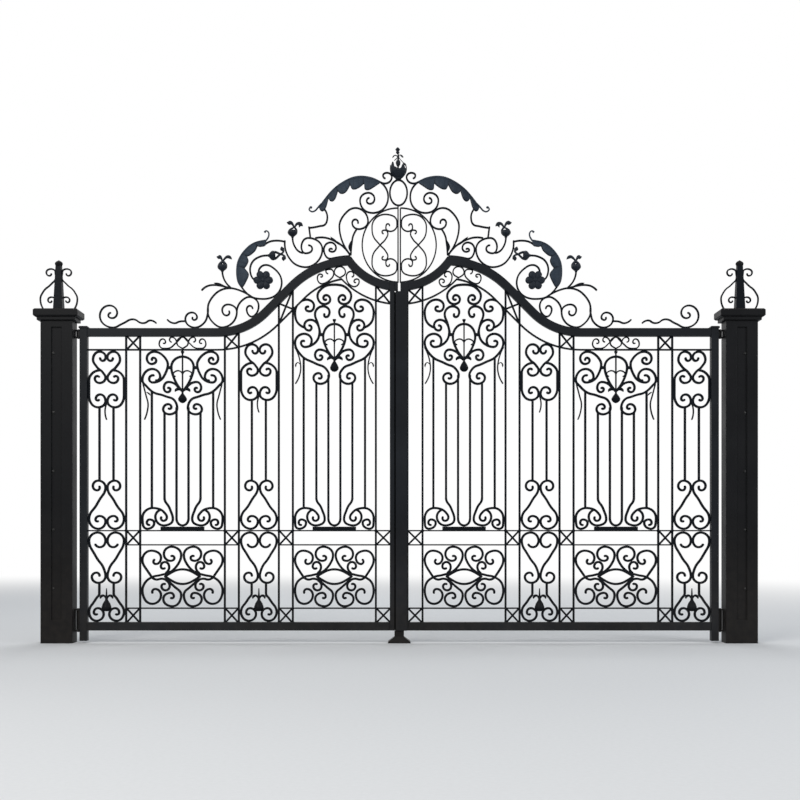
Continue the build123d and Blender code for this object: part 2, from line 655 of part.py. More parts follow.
def crest_strokes():
    """Wave scrolls, volutes, stems and sprigs of one leaf's crest, outside to middle."""
    wave = [(-1733, 1979), (-1745, 1963, 270), (-1722, 1947, 0), (-1692, 1979, 90)]
    wave += [(-1738, 2023, 180), (-1796, 1961, 270), on_rail(-1717, crest_lift)]
    wave += [(-1658, 1915), (-1603, 1940), (-1534, 1917), (-1488, 1933), (-1460, 1919)]
    second = [(-1240, 1950), (-1231, 1936, 0), (-1213, 1952, 90), (-1244, 1981, 180)]
    second += [(-1283, 1942, 270), on_rail(-1226, crest_lift), (-1166, 1924), (-1148, 1979)]
    second += [(-1145, 2028), (-1120, 2074), (-1069, 2116), (-1010, 2126)]
    tail = [(-1280, 1928), (-1309, 1928), (-1355, 1917), (-1389, 1936)]
    low_volute = [(-1148, 2008), (-1149, 1990, 270), (-1124, 1928), on_rail(-1057, crest_lift)]
    low_volute += [(-974, 1984, 90)]
    low_volute += [(-1027, 2029, 180), (-1062, 1996, 270), (-1036, 1963, 0), (-1020, 1988)]
    small_volute = [(-974, 1990), (-943, 2053), (-899, 2074, 0), (-843, 2020, 270)]
    small_volute += [reversed_on_rail(-868, crest_lift), (-915, 1999, 90), (-896, 2021, 0), (-880, 2006)]
    sprig = [(-1183, 2116), (-1149, 2140), (-1111, 2146), (-1069, 2141), (-1027, 2131)]
    sprig += [(-976, 2120), (-934, 2104), (-884, 2074)]
    spiral = [(-843, 2216), (-836, 2247), (-800, 2266, 0), (-742, 2237), (-711, 2194), (-705, 2152)]
    spiral += [reversed_on_rail(-728, crest_lift), (-813, 2062, 180), (-884, 2074), (-926, 2108)]
    spiral += [(-947, 2137)]
    bar = [(-803, 2392), (-782, 2404), (-735, 2412), (-686, 2405)]
    volute = [(-686, 2409), (-669, 2323), (-612, 2264), on_rail(-520, crest_lift)]
    volute += [(-461, 2359, 90), (-545, 2428, 180), (-587, 2375, 270), (-560, 2336, 0)]
    volute += [(-522, 2363, 90), (-542, 2384)]
    curl = [(-403, 2362), (-419, 2359), (-401, 2345, 0), (-379, 2369, 90), (-412, 2401, 180)]
    curl += [(-452, 2359, 270), on_rail(-404, crest_lift), on_rail(-347, crest_lift)]
    curl += [on_rail(-300, crest_lift)]
    rising = [(-296, 2326), (-359, 2394), (-408, 2419), (-446, 2430), (-500, 2428)]
    stem = [(-446, 2597), (-431, 2548), (-446, 2508), (-481, 2498), (-541, 2488)]
    drop = [(-541, 2492), (-533, 2430)]
    tall = [(-247, 2518), (-258, 2538), (-282, 2518, 270), (-242, 2481, 0), (-187, 2528, 90)]
    tall += [(-208, 2583), (-262, 2608, 180), (-337, 2558), (-359, 2498, 270), (-347, 2423)]
    tall += [(-317, 2359), (-294, 2328)]
    inner_bar = [(-290, 2328), (-284, 2399), (-277, 2438), (-257, 2477)]
    side = -(volute_edge + crest_stroke / 2)
    top_volute = [(-182, 2668), (-195, 2650, 270), (-175, 2633, 0), (-148, 2662, 90)]
    top_volute += [(-185, 2699, 180), (-235, 2653, 270), (-208, 2594), (-158, 2578, 0)]
    top_volute += [(-92, 2605), (side, 2672, 90), (-73, 2712), (-112, 2762)]
    crown_curl = [(-86, 2786), (-97, 2802, 90), (-73, 2819, 0), (-46, 2802), (-52, 2771)]
    crown_curl += [(-82, 2755), (-112, 2762)]
    strokes = [wave, second, tail, low_volute, small_volute, sprig, spiral, bar, volute, curl]
    strokes += [rising, stem, drop, tall, inner_bar, top_volute, crown_curl]
    return strokes


bud_stems = [
    [(-1014, 2133), (-1048, 2175), (-1061, 2228, 90)],
    [(-814, 2176), (-871, 2179), (-894, 2226), (-880, 2285), (-829, 2318), (-784, 2323, 0)],
    [(-580, 2338), (-600, 2346), (-631, 2386), (-640, 2434, 90)],
]


def crest_scrolls():
    faces = [ribbon(stroke, crest_stroke) for stroke in crest_strokes()]
    faces += [ribbon(stem, crest_stroke, round_end=False) for stem in bud_stems]
    faces.append(Pos(*rosette_centre) * Circle(hub_radius))
    inside = Pos(0, lyre_middle) * Circle(lyre_radius)
    return Sketch() + faces - inside - ribbon(lyre_ring(), lyre_stroke + 2 * seat)


def bud():
    """A bulb with two curling leaves that cross over it, standing at the origin."""
    bulb = turned([(5, 0), (16, 8), (27, 22), (29, 33), (24, 46), (12, 58), (5, 64)])
    left_leaf = [(7, 50), (-8, 80), (-20, 90, 180), (-34, 83), (-30, 75)]
    right_leaf = [(-7, 50), (12, 73), (32, 82, 0), (54, 68)]
    leaves = [ribbon(left_leaf, leaf_root, leaf_tip), ribbon(right_leaf, leaf_root, leaf_tip)]
    return bulb + plate(leaves, scroll_depth)


def buds():
    placed = []
    for stem, turn in zip(bud_stems, (0, 180, 0)):
        x, z, heading = stem[-1]
        placed.append(Pos(x, 0, z) * (Rot(0, 90 - heading, 0) * (Rot(0, 0, turn) * bud())))
    return placed


def rosette():
    """Two six-petalled plates, one on each face of the stem's boss."""
    petals = PolarLocations(petal_circle, petal_count) * Circle(petal_radius)
    flower = Sketch() + Circle(hub_radius) + petals
    offset = (scroll_depth + petal_thickness) / 2
    plates = []
    for sign in (-1, 1):
        plates.append(plate([Pos(*rosette_centre) * flower], petal_thickness, sign * offset))
    return plates


def curve_through(points):
    """Edges of tangent arcs through the points."""
    chain = arc_chain(points)
    return [tangent_edge(chain[i][0], chain[i][1], chain[i + 1][0]) for i in range(len(chain) - 1)]


def acanthus_leaf(back, lobes, hook):
    """Leaf plate between its smooth back and its lobes, both from tip to root, and a hook."""
    edges = curve_through(back)
    for lobe in lobes:
        edges += curve_through(lobe)
    for a, b in ((back[0], lobes[0][0]), (back[-1], lobes[-1][-1])):
        if a != b:
            edges.append(Line(a, b))
    return [Face(Wire(edges)), ribbon(hook, fine_stroke)]


def acanthus_leaves(crest):
    lower_back = [(-804, 2419), (-859, 2407), (-905, 2381), (-947, 2335), (-972, 2285)]
    lower_back += [(-979, 2226), (-968, 2167), (-943, 2125)]
    lower_lobes = [
        [(-796, 2398), (-806, 2378), (-832, 2373), (-850, 2377)],
        [(-850, 2377), (-863, 2348), (-890, 2324), (-911, 2316)],
        [(-911, 2316), (-902, 2290), (-926, 2247)],
        [(-926, 2247), (-905, 2210), (-928, 2157), (-943, 2125)],
    ]
    lower_hook = [(-812, 2404), (-786, 2432), (-782, 2454, 90), (-797, 2472, 180), (-809, 2462)]
    upper_back = [(-106, 2764), (-217, 2799), (-307, 2782), (-406, 2712), (-480, 2617)]
    upper_lobes = [
        [(-106, 2764), (-174, 2718), (-203, 2724), (-208, 2754)],
        [(-208, 2754), (-256, 2721), (-280, 2723), (-291, 2743)],
        [(-291, 2743), (-325, 2697), (-346, 2695), (-365, 2706)],
        [(-365, 2706), (-388, 2655), (-406, 2646), (-422, 2662)],
        [(-422, 2662), (-440, 2606), (-463, 2589), (-480, 2617)],
    ]
    upper_hook = [(-474, 2630), (-500, 2595), (-521, 2585, 180), (-541, 2600, 90)]
    upper_hook += [(-531, 2614, 0), (-524, 2607)]
    leaves = acanthus_leaf(lower_back, lower_lobes, lower_hook)
    leaves += acanthus_leaf(upper_back, upper_lobes, upper_hook)
    return plate((Sketch() + leaves - crest).faces(), leaf_thickness)


def lyre_ring():
    """Half of the ring that springs from the dip of the rail."""
    foot = reversed_on_rail(-14, lyre_lift)
    return [foot, (-lyre_radius, lyre_middle, 90), (-10, lyre_middle + lyre_radius, 0)]


def lyre(bar_top):
    """Half a lyre: the upright, the half ring and two crossing S scrolls."""
    gap = rail_end_gap / 2
    rising = [(-58, 2268), (-68, 2258, 180), (-80, 2281, 90), (-53, 2303, 0), (-20, 2286)]
    rising += [(-14, 2246, 270), (-83, 2201, 180), (-143, 2226), (-163, 2276, 90), (-158, 2325)]
    rising += [(-113, 2387), (-83, 2419), (-68, 2453, 90), (-85, 2475, 180), (-103, 2464), (-96, 2454)]
    falling = [(x, 2 * lyre_middle - z, *(-h for h in turn)) for x, z, *turn in rising]
    upright_low = rail_top(-gap - lyre_stroke)[0].Y + seat
    bar = upright(-gap, upright_low, bar_top, lyre_stroke)
    faces = [ribbon(stroke, lyre_stroke) for stroke in (lyre_ring(), rising, falling)]
    return plate([*faces, bar], scroll_depth)


def crown_ring():
    outer = Ellipse(ring_half_width, ring_half_height)
    inner = Ellipse(ring_half_width - crest_stroke, ring_half_height - crest_stroke)
    return plate([Pos(ring_x, ring_middle) * (outer - inner)], scroll_depth)


def crown_finial():
    """A cup of pointed leaves round a bud, with four small leaves and a spear above."""
    foot = ring_middle + ring_half_height + seat
    profile = [(12, 0), (18, 5), (35, 24), (45, 46), (48, 70), (cup_rim, cup_height), (38, cup_height)]
    profile += [(42, 70), (37, 54), (6, 54), (6, 74), (14, 88), (13, 104), (5, 116), (5, 150)]
    profile += [(10, 156), (5, 162), (14, 178), (0, 193)]
    body = turned(profile)
    notch = Polyline((0, cup_height - notch_depth), (notch_width / 2, cup_height + 1),
                     (-notch_width / 2, cup_height + 1), close=True)
    wedge = Pos(0, -cup_rim / 2, 0) * (Rot(90, 0, 0) * extrude(Face(Wire(notch)), cup_rim))
    for leaf in range(cup_leaves):
        body -= Rot(0, 0, (leaf + 0.5) * 360 / cup_leaves) * wedge
    curl = [(0, 132), (14, 145), (25, 141, 320), (30, 132)]
    small_leaf = plate([ribbon(curl, fine_stroke)], fine_stroke)
    for quarter in range(4):
        body += Rot(0, 0, quarter * 90) * small_leaf
    return Pos(ring_x, 0, foot) * body


# Hinges, posts and floor stop


def hinge_eye(low, high):
    """Eye on the leaf with its bore, joined to the hanging stile by a web."""
    height = high - low - 2 * (arm_thickness + eye_play)
    web_length = hinge_gap / 2
    eye = Cylinder(eye_radius, height)
    web = Pos(web_length / 2, -eye_web / 2, 0) * Box(web_length, eye_web, height)
    bore = Cylinder(pin_radius + pin_play, height)
    return Pos(hinge_x, hinge_y, (low + high) / 2) * (eye + web - bore)


def hinge_pin(low, high):
    """Bracket on the post: a plate, an arm above and below the eye, and the pin."""
    reach = hinge_gap / 2
    width = 2 * eye_radius
    plate_block = Pos(hinge_plate / 2 - reach, 0, 0) * Box(hinge_plate, width, high - low)
    bracket = plate_block + Cylinder(pin_radius, high - low)
    for sign in (-1, 1):
        level_z = sign * (high - low - arm_thickness) / 2
        bracket += Pos(-reach / 2, 0, level_z) * Box(reach, width, arm_thickness)
        bracket += Pos(0, 0, level_z) * Cylinder(eye_radius, arm_thickness)
    return Pos(hinge_x, hinge_y, (low + high) / 2) * bracket


def post():
    """Box post with a long recessed panel in the middle of its front, drawn round x = 0."""
    body = Pos(0, 0, post_height / 2) * Box(post_width, post_depth, post_height)
    y = -(post_depth - recess_depth) / 2
    recess = Box(recess_width, recess_depth, recess_high - recess_low)
    return body - Pos(0, y, (recess_low + recess_high) / 2) * recess


def post_cap():
    width = post_width + 2 * cap_overhang
    depth = post_depth + 2 * cap_depth_overhang
    slab_height = cap_thickness - cap_neck
    slab = Pos(0, 0, cap_neck + slab_height / 2) * Box(width, depth, slab_height)
    slab = chamfer(slab.edges().filter_by(Plane.XY), cap_chamfer)
    neck = Pos(0, 0, cap_neck / 2) * Box(width - cap_overhang, depth - cap_depth_overhang, cap_neck)
    return Pos(0, 0, post_height) * (slab + neck)


def post_finial():
    """A tapering square spike with an S scroll leaning on it at either side."""
    taper = math.degrees(math.atan((spike_base - spike_top) / 2 / spike_height))
    spike = extrude(Rectangle(spike_base, spike_base), amount=spike_height, taper=taper)
    spike += Pos(0, 0, spike_height + spike_knob / 2) * Sphere(spike_knob)
    tall = [(45, 219), (57, 208, 0), (75, 228, 90), (47, 249, 180), (21, 230, 270), (19, 190)]
    tall += [(46, 158), (92, 115), (111, 69, 270), (105, 32), (90, finial_stroke / 2)]
    low = [(20, 72), (45, 80, 0), (65, 62, 270), (52, 48, 180), (43, 56)]
    scroll = plate([ribbon(tall, finial_stroke), ribbon(low, finial_stroke)], finial_stroke)
    for turn in (0, 180):
        spike += Rot(0, 0, turn) * scroll
    return Pos(0, 0, post_height + cap_thickness) * spike


def floor_stop():
    """Flared shoe on the ground under the meeting stiles."""
    edge = Pos(0, 0, stop_base_edge / 2) * Box(stop_base_width, stop_base_depth, stop_base_edge)
    wide = Pos(0, 0, stop_base_edge) * Rectangle(stop_base_width, stop_base_depth)
    narrow = Pos(0, 0, stop_shoulder) * Rectangle(stop_neck_width, stop_neck_width)
    flare = loft([wide, narrow])
    neck_height = stop_top - stop_shoulder
    neck = Pos(0, 0, stop_shoulder + neck_height / 2) * Box(stop_neck_width, stop_neck_width, neck_height)
    return edge + flare + neck


def leaf_pieces(is_left):
    """Every piece of one leaf, drawn on the left of the centre line."""
    end_x = -rail_end_gap / 2
    rail_face = swan_band(0, -top_rail_height, stile_inner, end_x)
    rail = plate([rail_face], rail_depth)
    crest = crest_scrolls()
    pieces = {
        "hanging_stile": hanging_stile(),
        "top_rail": rail,
        "bottom_rail": bottom_rail(-meeting_outer),
        "meeting_stile": left_meeting_stile(rail) if is_left else right_meeting_stile(rail),
        "grille": grille(rail_face),
        "narrow_panels_upper": [
            narrow_upper(outer_narrow_axis, outer_narrow_half, 0.0),
            narrow_upper(inner_narrow_axis, inner_narrow_half, inner_heart_lift),
        ],
        "narrow_panels_lower": [
            narrow_lower(outer_narrow_axis, outer_narrow_half),
            narrow_lower(inner_narrow_axis, inner_narrow_half),
        ],
        "outer_wide_panel": wide_outer(),
        "inner_wide_panel": wide_inner(),
        "wide_panels_lower": [
            wide_lower(outer_wide_axis, outer_wide_half),
            wide_lower(inner_wide_axis, inner_wide_half),
        ],
        "frieze": [outer_frieze(), inner_frieze()],
        "crest_scrolls": plate(crest.faces(), scroll_depth),
        "acanthus_leaves": acanthus_leaves(crest),
        "rosette": rosette(),
        "buds": buds(),
        "lyre": lyre(crown_low - seat if is_left else crown_low - lyre_bar_gap),
        "hinge_eyes": [hinge_eye(*top_hinge), hinge_eye(*bottom_hinge)],
    }
    return pieces


def save(name, piece, mirrored=False):
    """Write one piece, or several that share a node, in the gate's own frame."""
    solids = []
    for item in piece if isinstance(piece, list) else [piece]:
        solids += item.solids()
    if mirrored:
        solids = [solid.mirror(Plane.YZ) for solid in solids]
    across = Pos(centre_x, 0, 0)
    export_step(Compound(children=[across * solid for solid in solids]), f"parts/{name}.step")


def main():
    os.makedirs("parts", exist_ok=True)
    for side in ("left", "right"):
        for name, piece in leaf_pieces(side == "left").items():
            save(f"{side}_{name}", piece, side == "right")
    save("left_crown_ring", crown_ring())
    save("left_crown_finial", crown_finial())
    fixed = {
        "post": Pos(post_axis, 0, 0) * post(),
        "post_cap": Pos(post_axis, 0, 0) * post_cap(),
        "post_finial": Pos(post_axis, 0, 0) * post_finial(),
        "hinge_pins": [hinge_pin(*top_hinge), hinge_pin(*bottom_hinge)],
    }
    for name, piece in fixed.items():
        save(f"left_{name}", piece)
        save(f"right_{name}", piece, True)
    save("floor_stop", floor_stop())


main()
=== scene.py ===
import math

import bmesh
import bpy
import numpy as np
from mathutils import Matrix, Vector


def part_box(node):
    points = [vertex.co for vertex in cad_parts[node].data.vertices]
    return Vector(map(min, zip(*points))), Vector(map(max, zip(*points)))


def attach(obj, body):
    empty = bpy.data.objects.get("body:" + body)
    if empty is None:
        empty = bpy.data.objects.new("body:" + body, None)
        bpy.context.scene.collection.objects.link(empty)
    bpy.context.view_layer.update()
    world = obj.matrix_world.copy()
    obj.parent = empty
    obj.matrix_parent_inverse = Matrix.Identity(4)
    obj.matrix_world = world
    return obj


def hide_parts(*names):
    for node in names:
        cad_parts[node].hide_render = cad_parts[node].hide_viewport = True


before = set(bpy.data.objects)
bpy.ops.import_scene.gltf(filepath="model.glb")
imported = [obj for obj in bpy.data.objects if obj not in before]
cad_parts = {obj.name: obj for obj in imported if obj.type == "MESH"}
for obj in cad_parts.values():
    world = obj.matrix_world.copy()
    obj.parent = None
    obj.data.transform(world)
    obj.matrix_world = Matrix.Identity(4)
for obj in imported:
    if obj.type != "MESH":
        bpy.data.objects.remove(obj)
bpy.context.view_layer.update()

MM = 0.001
CENTRE = sum(corner[0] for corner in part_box("floor_stop")) / 2
LEAF_BODY = {1: "left_leaf", -1: "right_leaf"}
LEAF_NAME = {1: "left", -1: "right"}
FULL_TURN = 2 * np.pi


# Curves and surfaces, in gate millimetres: x from the middle line, y to the back, z up

SPAN_STEPS = 60  # samples a span, before the points are spread evenly


def smooth_line(points, count):
    """Points evenly spread along the cubic that passes through the given ones: each span is a
    Hermite cubic whose end slopes are half the step between the two neighbours."""
    given = np.array(points, float)
    padded = np.vstack([2 * given[0] - given[1], given, 2 * given[-1] - given[-2]])
    slopes = (padded[2:] - padded[:-2]) / 2
    dense = np.linspace(0, len(given) - 1, SPAN_STEPS * len(given))
    span = np.minimum(dense.astype(int), len(given) - 2)
    t = (dense - span)[:, None]
    a, b, ma, mb = given[span], given[span + 1], slopes[span], slopes[span + 1]
    line = (2 * t**3 - 3 * t**2 + 1) * a + (t**3 - 2 * t**2 + t) * ma
    line = line + (3 * t**2 - 2 * t**3) * b + (t**3 - t**2) * mb
    run = np.append(0, np.cumsum(np.linalg.norm(np.diff(line, axis=0), axis=1)))
    goal = np.linspace(0, run[-1], count)
    return np.stack([np.interp(goal, run, line[:, k]) for k in range(line.shape[1])], 1)


def capped(rings):
    """Rings of points with their middle added before the first and after the last ring."""
    first = np.repeat(rings[:1].mean(1, keepdims=True), rings.shape[1], 1)
    last = np.repeat(rings[-1:].mean(1, keepdims=True), rings.shape[1], 1)
    return np.concatenate([first, rings, last])


def squared_circle(angle, square):
    """Cosine and sine drawn out towards a square: sign(c) |c|^q, where q is 1 for a circle and
    less for a squarer form."""
    c, s = np.cos(angle), np.sin(angle)
    return np.sign(c) * np.abs(c) ** square, np.sign(s) * np.abs(s) ** square


def carried(path, half_width, half_depth, sides, square=1.0):
    """A bar carried along a path in the gate's plane: at each station the section is a squared
    circle, w times wide across the path and d times deep in y, and w and d run along the path."""
    ahead = np.gradient(path, axis=0)
    ahead /= np.linalg.norm(ahead, axis=1, keepdims=True)
    across = np.stack([-ahead[:, 1], ahead[:, 0]], 1)
    c, s = squared_circle(np.linspace(0, FULL_TURN, sides, endpoint=False), square)
    w = np.broadcast_to(half_width, len(path))[:, None] * c
    d = np.broadcast_to(half_depth, len(path))[:, None] * s
    x = path[:, :1] + across[:, :1] * w
    z = path[:, 1:] + across[:, 1:] * w
    return capped(np.stack([x, d, z], 2))


def turned(profile, sides, lobes=0, depth=0.0):
    """A turned form about the z axis: radius r(h) (1 + depth cos(lobes a)) at height h."""
    profile = np.array(profile, float)
    angle = np.linspace(0, FULL_TURN, sides, endpoint=False)[None]
    r = profile[:, :1] * (1 + depth * np.cos(lobes * angle))
    h = profile[:, 1:] + 0 * angle
    return capped(np.stack([r * np.cos(angle), r * np.sin(angle), h], 2))


def placed(points, x, y, z, turn=0.0):
    """Turn points by an angle from upright towards +x in the gate's plane, then move them."""
    t = math.radians(turn)
    across, rise = points[..., 0], points[..., 2]
    moved = np.stack([across * math.cos(t) + rise * math.sin(t), points[..., 1],
                      rise * math.cos(t) - across * math.sin(t)], -1)
    return moved + np.array([x, y, z], float)


def faces_forward(points):
    """Lay a form that stands on the z axis down so that it looks to the front (-y)."""
    return np.stack([points[..., 0], -points[..., 2], points[..., 1]], -1)


DOUBLE_GAP = 2e-6  # metres within which points are one point
NO_LENGTH = 1e-7  # metres under which an edge is dissolved


def piece(name, shells, side, body, material, crease):
    """One object from closed grids of points: quads join neighbours, the second direction closes
    on itself, doubles at the poles are merged and normals are turned outwards. A fourth number
    of a point, where a grid has it, becomes the mesh's attribute unshaded_share, which says where
    shade is painted. Edges sharper than the crease, in degrees, stay sharp."""
    mesh = bpy.data.meshes.new(name)
    corners, quads, ground, start = [], [], [], 0
    for grid in shells:
        rows, columns = grid.shape[:2]
        i, j = np.meshgrid(np.arange(rows - 1), np.arange(columns), indexing="ij")
        k = (j + 1) % columns
        quads.append(np.stack([i * columns + j, i * columns + k, (i + 1) * columns + k,
                               (i + 1) * columns + j], -1).reshape(-1, 4) + start)
        corners.append(grid[..., :3].reshape(-1, 3))
        ground.append(grid[..., 3].ravel() if grid.shape[2] > 3 else np.ones(rows * columns))
        start += rows * columns
    points = np.concatenate(corners) * MM
    points[:, 0] = CENTRE + side * points[:, 0]
    mesh.from_pydata(points.tolist(), [], np.concatenate(quads).tolist())
    if any(grid.shape[2] > 3 for grid in shells):
        unshaded_share = mesh.attributes.new("unshaded_share", "FLOAT", "POINT")
        unshaded_share.data.foreach_set("value", np.concatenate(ground))
    work = bmesh.new()
    work.from_mesh(mesh)
    bmesh.ops.remove_doubles(work, verts=work.verts, dist=DOUBLE_GAP)
    bmesh.ops.dissolve_degenerate(work, edges=work.edges, dist=NO_LENGTH)
    bmesh.ops.recalc_face_normals(work, faces=work.faces)
    work.to_mesh(mesh)
    work.free()
    mesh.shade_smooth()
    mesh.set_sharp_from_angle(angle=math.radians(crease))
    mesh.materials.append(material)
    made = bpy.data.objects.new(name, mesh)
    bpy.context.scene.collection.objects.link(made)
    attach(made, body)
    return made


# Shader parts


def node(tree, kind, inputs=None, **settings):
    """Add a node, set its options, and link or set its inputs."""
    made = tree.nodes.new(kind)
    for option, value in settings.items():
        setattr(made, option, value)
    for key, value in (inputs or {}).items():
        socket = made.inputs[key]
        if isinstance(value, bpy.types.NodeSocket):
            tree.links.new(value, socket)
        else:
            socket.default_value = value
    return made


def ramp(tree, value, low, high, to_low=0.0, to_high=1.0):
    """A smooth step from to_low to to_high while the value runs from low to high."""
    inputs = {"Value": value, "From Min": low, "From Max": high,
              "To Min": to_low, "To Max": to_high}
    return node(tree, "ShaderNodeMapRange", inputs, interpolation_type="SMOOTHSTEP").outputs[0]


def blend_colours(tree, share, low, high):
    """The low colour where share is 0, the high one where it is 1."""
    return node(tree, "ShaderNodeMix", {0: share, 6: low, 7: high}, data_type="RGBA").outputs[2]


def calc(tree, how, a, b):
    """One step of arithmetic on two values."""
    return node(tree, "ShaderNodeMath", {0: a, 1: b}, operation=how).outputs[0]


def noise(tree, place, scale, **more):
    """A cloudy noise from 0 to 1 at a place, with detail and roughness where they are given."""
    inputs = {"Vector": place, "Scale": scale}
    inputs.update({key.capitalize(): value for key, value in more.items()})
    return node(tree, "ShaderNodeTexNoise", inputs).outputs["Fac"]


def object_place(tree):
    """Where a point lies, in the object's own coordinates."""
    return node(tree, "ShaderNodeTexCoord").outputs["Object"]


def new_group(name, inputs, outputs):
    """A node group with float sockets, with its input and output sockets."""
    group = bpy.data.node_groups.new(name, "ShaderNodeTree")
    for socket, value in inputs:
        made = group.interface.new_socket(socket, in_out="INPUT", socket_type="NodeSocketFloat")
        made.default_value = value
    for socket in outputs:
        group.interface.new_socket(socket, in_out="OUTPUT", socket_type="NodeSocketFloat")
    given = group.nodes.new("NodeGroupInput").outputs
    return group, given, group.nodes.new("NodeGroupOutput").inputs


def edge_rub_group():
    """Mask that is 1 where an edge is sharp and a slow noise lets it: the normal rounded over
    Radius is set against the true one, and the noise picks which edges have been rubbed."""
    still_flat, fully_sharp = 0.995, 0.80  # the two normals' dot product
    spared, rubbed = 0.42, 0.72  # the noise
    group, given, out = new_group("edge_rub", [("Radius", 0.002), ("Patch Scale", 9.0)], ["Mask"])
    bevel = node(group, "ShaderNodeBevel", {"Radius": given["Radius"]}, samples=4)
    true = node(group, "ShaderNodeNewGeometry").outputs["Normal"]
    match = node(group, "ShaderNodeVectorMath", {0: bevel.outputs[0], 1: true},
                 operation="DOT_PRODUCT")
    sharp = ramp(group, match.outputs["Value"], still_flat, fully_sharp)
    patch = noise(group, object_place(group), given["Patch Scale"], detail=5.0, roughness=0.6)
    chosen = ramp(group, patch, spared, rubbed)
    group.links.new(calc(group, "MULTIPLY", sharp, chosen), out["Mask"])
    return group


def dust_and_ground_light_group():
    """Mask of dust and of a painted warm ground light: faces that look up hold dust, it thickens
    towards the ground, where it is painted warm light from the ground as well as dust, and a
    noise breaks it up."""
    leaning, level, most_on_top = 0.25, 1.0, 0.8  # the normal's upward share
    most_at_foot = 0.9
    thin_at, thick_at, thinnest = 0.30, 0.72, 0.45  # the noise
    group, given, out = new_group("dust_and_ground_light", [("Amount", 0.5), ("Splash and Ground Light Height", 0.9)], ["Mask"])
    geometry = node(group, "ShaderNodeNewGeometry").outputs["Normal"]
    up = node(group, "ShaderNodeSeparateXYZ", {0: geometry}).outputs["Z"]
    lying = ramp(group, up, leaning, level, 0.0, most_on_top)
    place = object_place(group)
    height = node(group, "ShaderNodeSeparateXYZ", {0: place}).outputs["Z"]
    # Painted warm ground light, together with dust: stronger towards the ground
    near = ramp(group, height, given["Splash and Ground Light Height"], 0.0, 0.0, most_at_foot)
    clouds = noise(group, place, 22.0, detail=8.0, roughness=0.65)
    broken = ramp(group, clouds, thin_at, thick_at, thinnest, 1.0)
    held = calc(group, "MULTIPLY", calc(group, "MAXIMUM", lying, near), broken)
    group.links.new(calc(group, "MULTIPLY", held, given["Amount"]), out["Mask"])
    return group


def hammer_marks_group():
    """Height of a forged and brushed surface: shallow hammer flats from smooth cells, and the
    fine grain of the paint over them. Tone is a slow noise for what changes across the gate."""
    group, given, out = new_group(
        "hammer_marks",
        [("Flat Scale", 55.0), ("Flat Depth", 1.0), ("Grain Scale", 900.0), ("Grain Depth", 0.12)],
        ["Height", "Tone"])
    place = object_place(group)
    cells = node(group, "ShaderNodeTexVoronoi",
                 {"Vector": place, "Scale": given["Flat Scale"], "Smoothness": 0.8},
                 feature="SMOOTH_F1").outputs["Distance"]
    grain = noise(group, place, given["Grain Scale"], detail=3.0)
    tone = noise(group, place, 3.2, detail=6.0, roughness=0.55)
    flats = calc(group, "MULTIPLY", cells, given["Flat Depth"])
    fine = calc(group, "MULTIPLY", grain, given["Grain Depth"])
    group.links.new(calc(group, "ADD", flats, fine), out["Height"])
    group.links.new(tone, out["Tone"])
    return group


EDGE_RUB = edge_rub_group()
DUST_AND_GROUND_LIGHT_GROUP = dust_and_ground_light_group()
HAMMER_MARKS = hammer_marks_group()
# The tone laid by the dust mask: dust, and near the ground a painted warm ground light
DUST_AND_GROUND_LIGHT_TONE = (0.085, 0.070, 0.055)
OILY_DIRT = (0.03, 0.02, 0.012)


def paint(name, deep, faded, rubbed, flat_scale, flat_depth, grain, roughness, rub_radius,
          dust_and_ground_light_amount, specular, dust_and_ground_light_tone=DUST_AND_GROUND_LIGHT_TONE, painted_shade_tone=None):
    """Gate paint over steel: a deep and a faded tone by slow patches, rubbed edges, dust with a
    painted warm ground light low down, and the forging marks under it all. A painted shade lies
    wherever unshaded_share is low."""
    fade_from, fade_to = 0.3, 0.7  # the slow tone
    rough_from, rough_to, smoother, rougher = 0.25, 0.75, 0.07, 0.08
    dust_roughens = 0.3
    rounded_share = 0.7  # of the rub radius
    material = bpy.data.materials.new(name)
    material.use_nodes = True
    tree = material.node_tree
    shader = tree.nodes["Principled BSDF"]
    marks = node(tree, "ShaderNodeGroup", node_tree=HAMMER_MARKS)
    marks.inputs["Flat Scale"].default_value = flat_scale
    marks.inputs["Flat Depth"].default_value = flat_depth
    marks.inputs["Grain Depth"].default_value = grain
    rub = node(tree, "ShaderNodeGroup", node_tree=EDGE_RUB)
    rub.inputs["Radius"].default_value = rub_radius
    # Dust, and near the ground a painted warm ground light
    dust_and_ground_light_mask = node(tree, "ShaderNodeGroup", node_tree=DUST_AND_GROUND_LIGHT_GROUP)
    dust_and_ground_light_mask.inputs["Amount"].default_value = dust_and_ground_light_amount
    tone = marks.outputs["Tone"]
    faded_share = ramp(tree, tone, fade_from, fade_to)
    colour = blend_colours(tree, faded_share, (*deep, 1), (*faded, 1))
    # Painted shade on the leaves' rims, valleys and veins, where the attribute is low
    if painted_shade_tone:
        high = node(tree, "ShaderNodeAttribute", attribute_name="unshaded_share").outputs["Fac"]
        colour = blend_colours(tree, high, (*painted_shade_tone, 1), colour)
    colour = blend_colours(tree, rub.outputs["Mask"], colour, (*rubbed, 1))
    colour = blend_colours(tree, dust_and_ground_light_mask.outputs["Mask"], colour, (*dust_and_ground_light_tone, 1))
    tree.links.new(colour, shader.inputs["Base Color"])
    rough = ramp(tree, tone, rough_from, rough_to, roughness - smoother, roughness + rougher)
    dusty = calc(tree, "MULTIPLY", dust_and_ground_light_mask.outputs["Mask"], dust_roughens)
    tree.links.new(calc(tree, "ADD", rough, dusty), shader.inputs["Roughness"])
    bump = node(tree, "ShaderNodeBump",
                {"Height": marks.outputs["Height"], "Strength": 0.5, "Distance": 0.0012})
    bevel = node(tree, "ShaderNodeBevel",
                 {"Radius": rub_radius * rounded_share, "Normal": bump.outputs[0]}, samples=4)
    tree.links.new(bevel.outputs[0], shader.inputs["Normal"])
    shader.inputs["Specular IOR Level"].default_value = specular
    return material


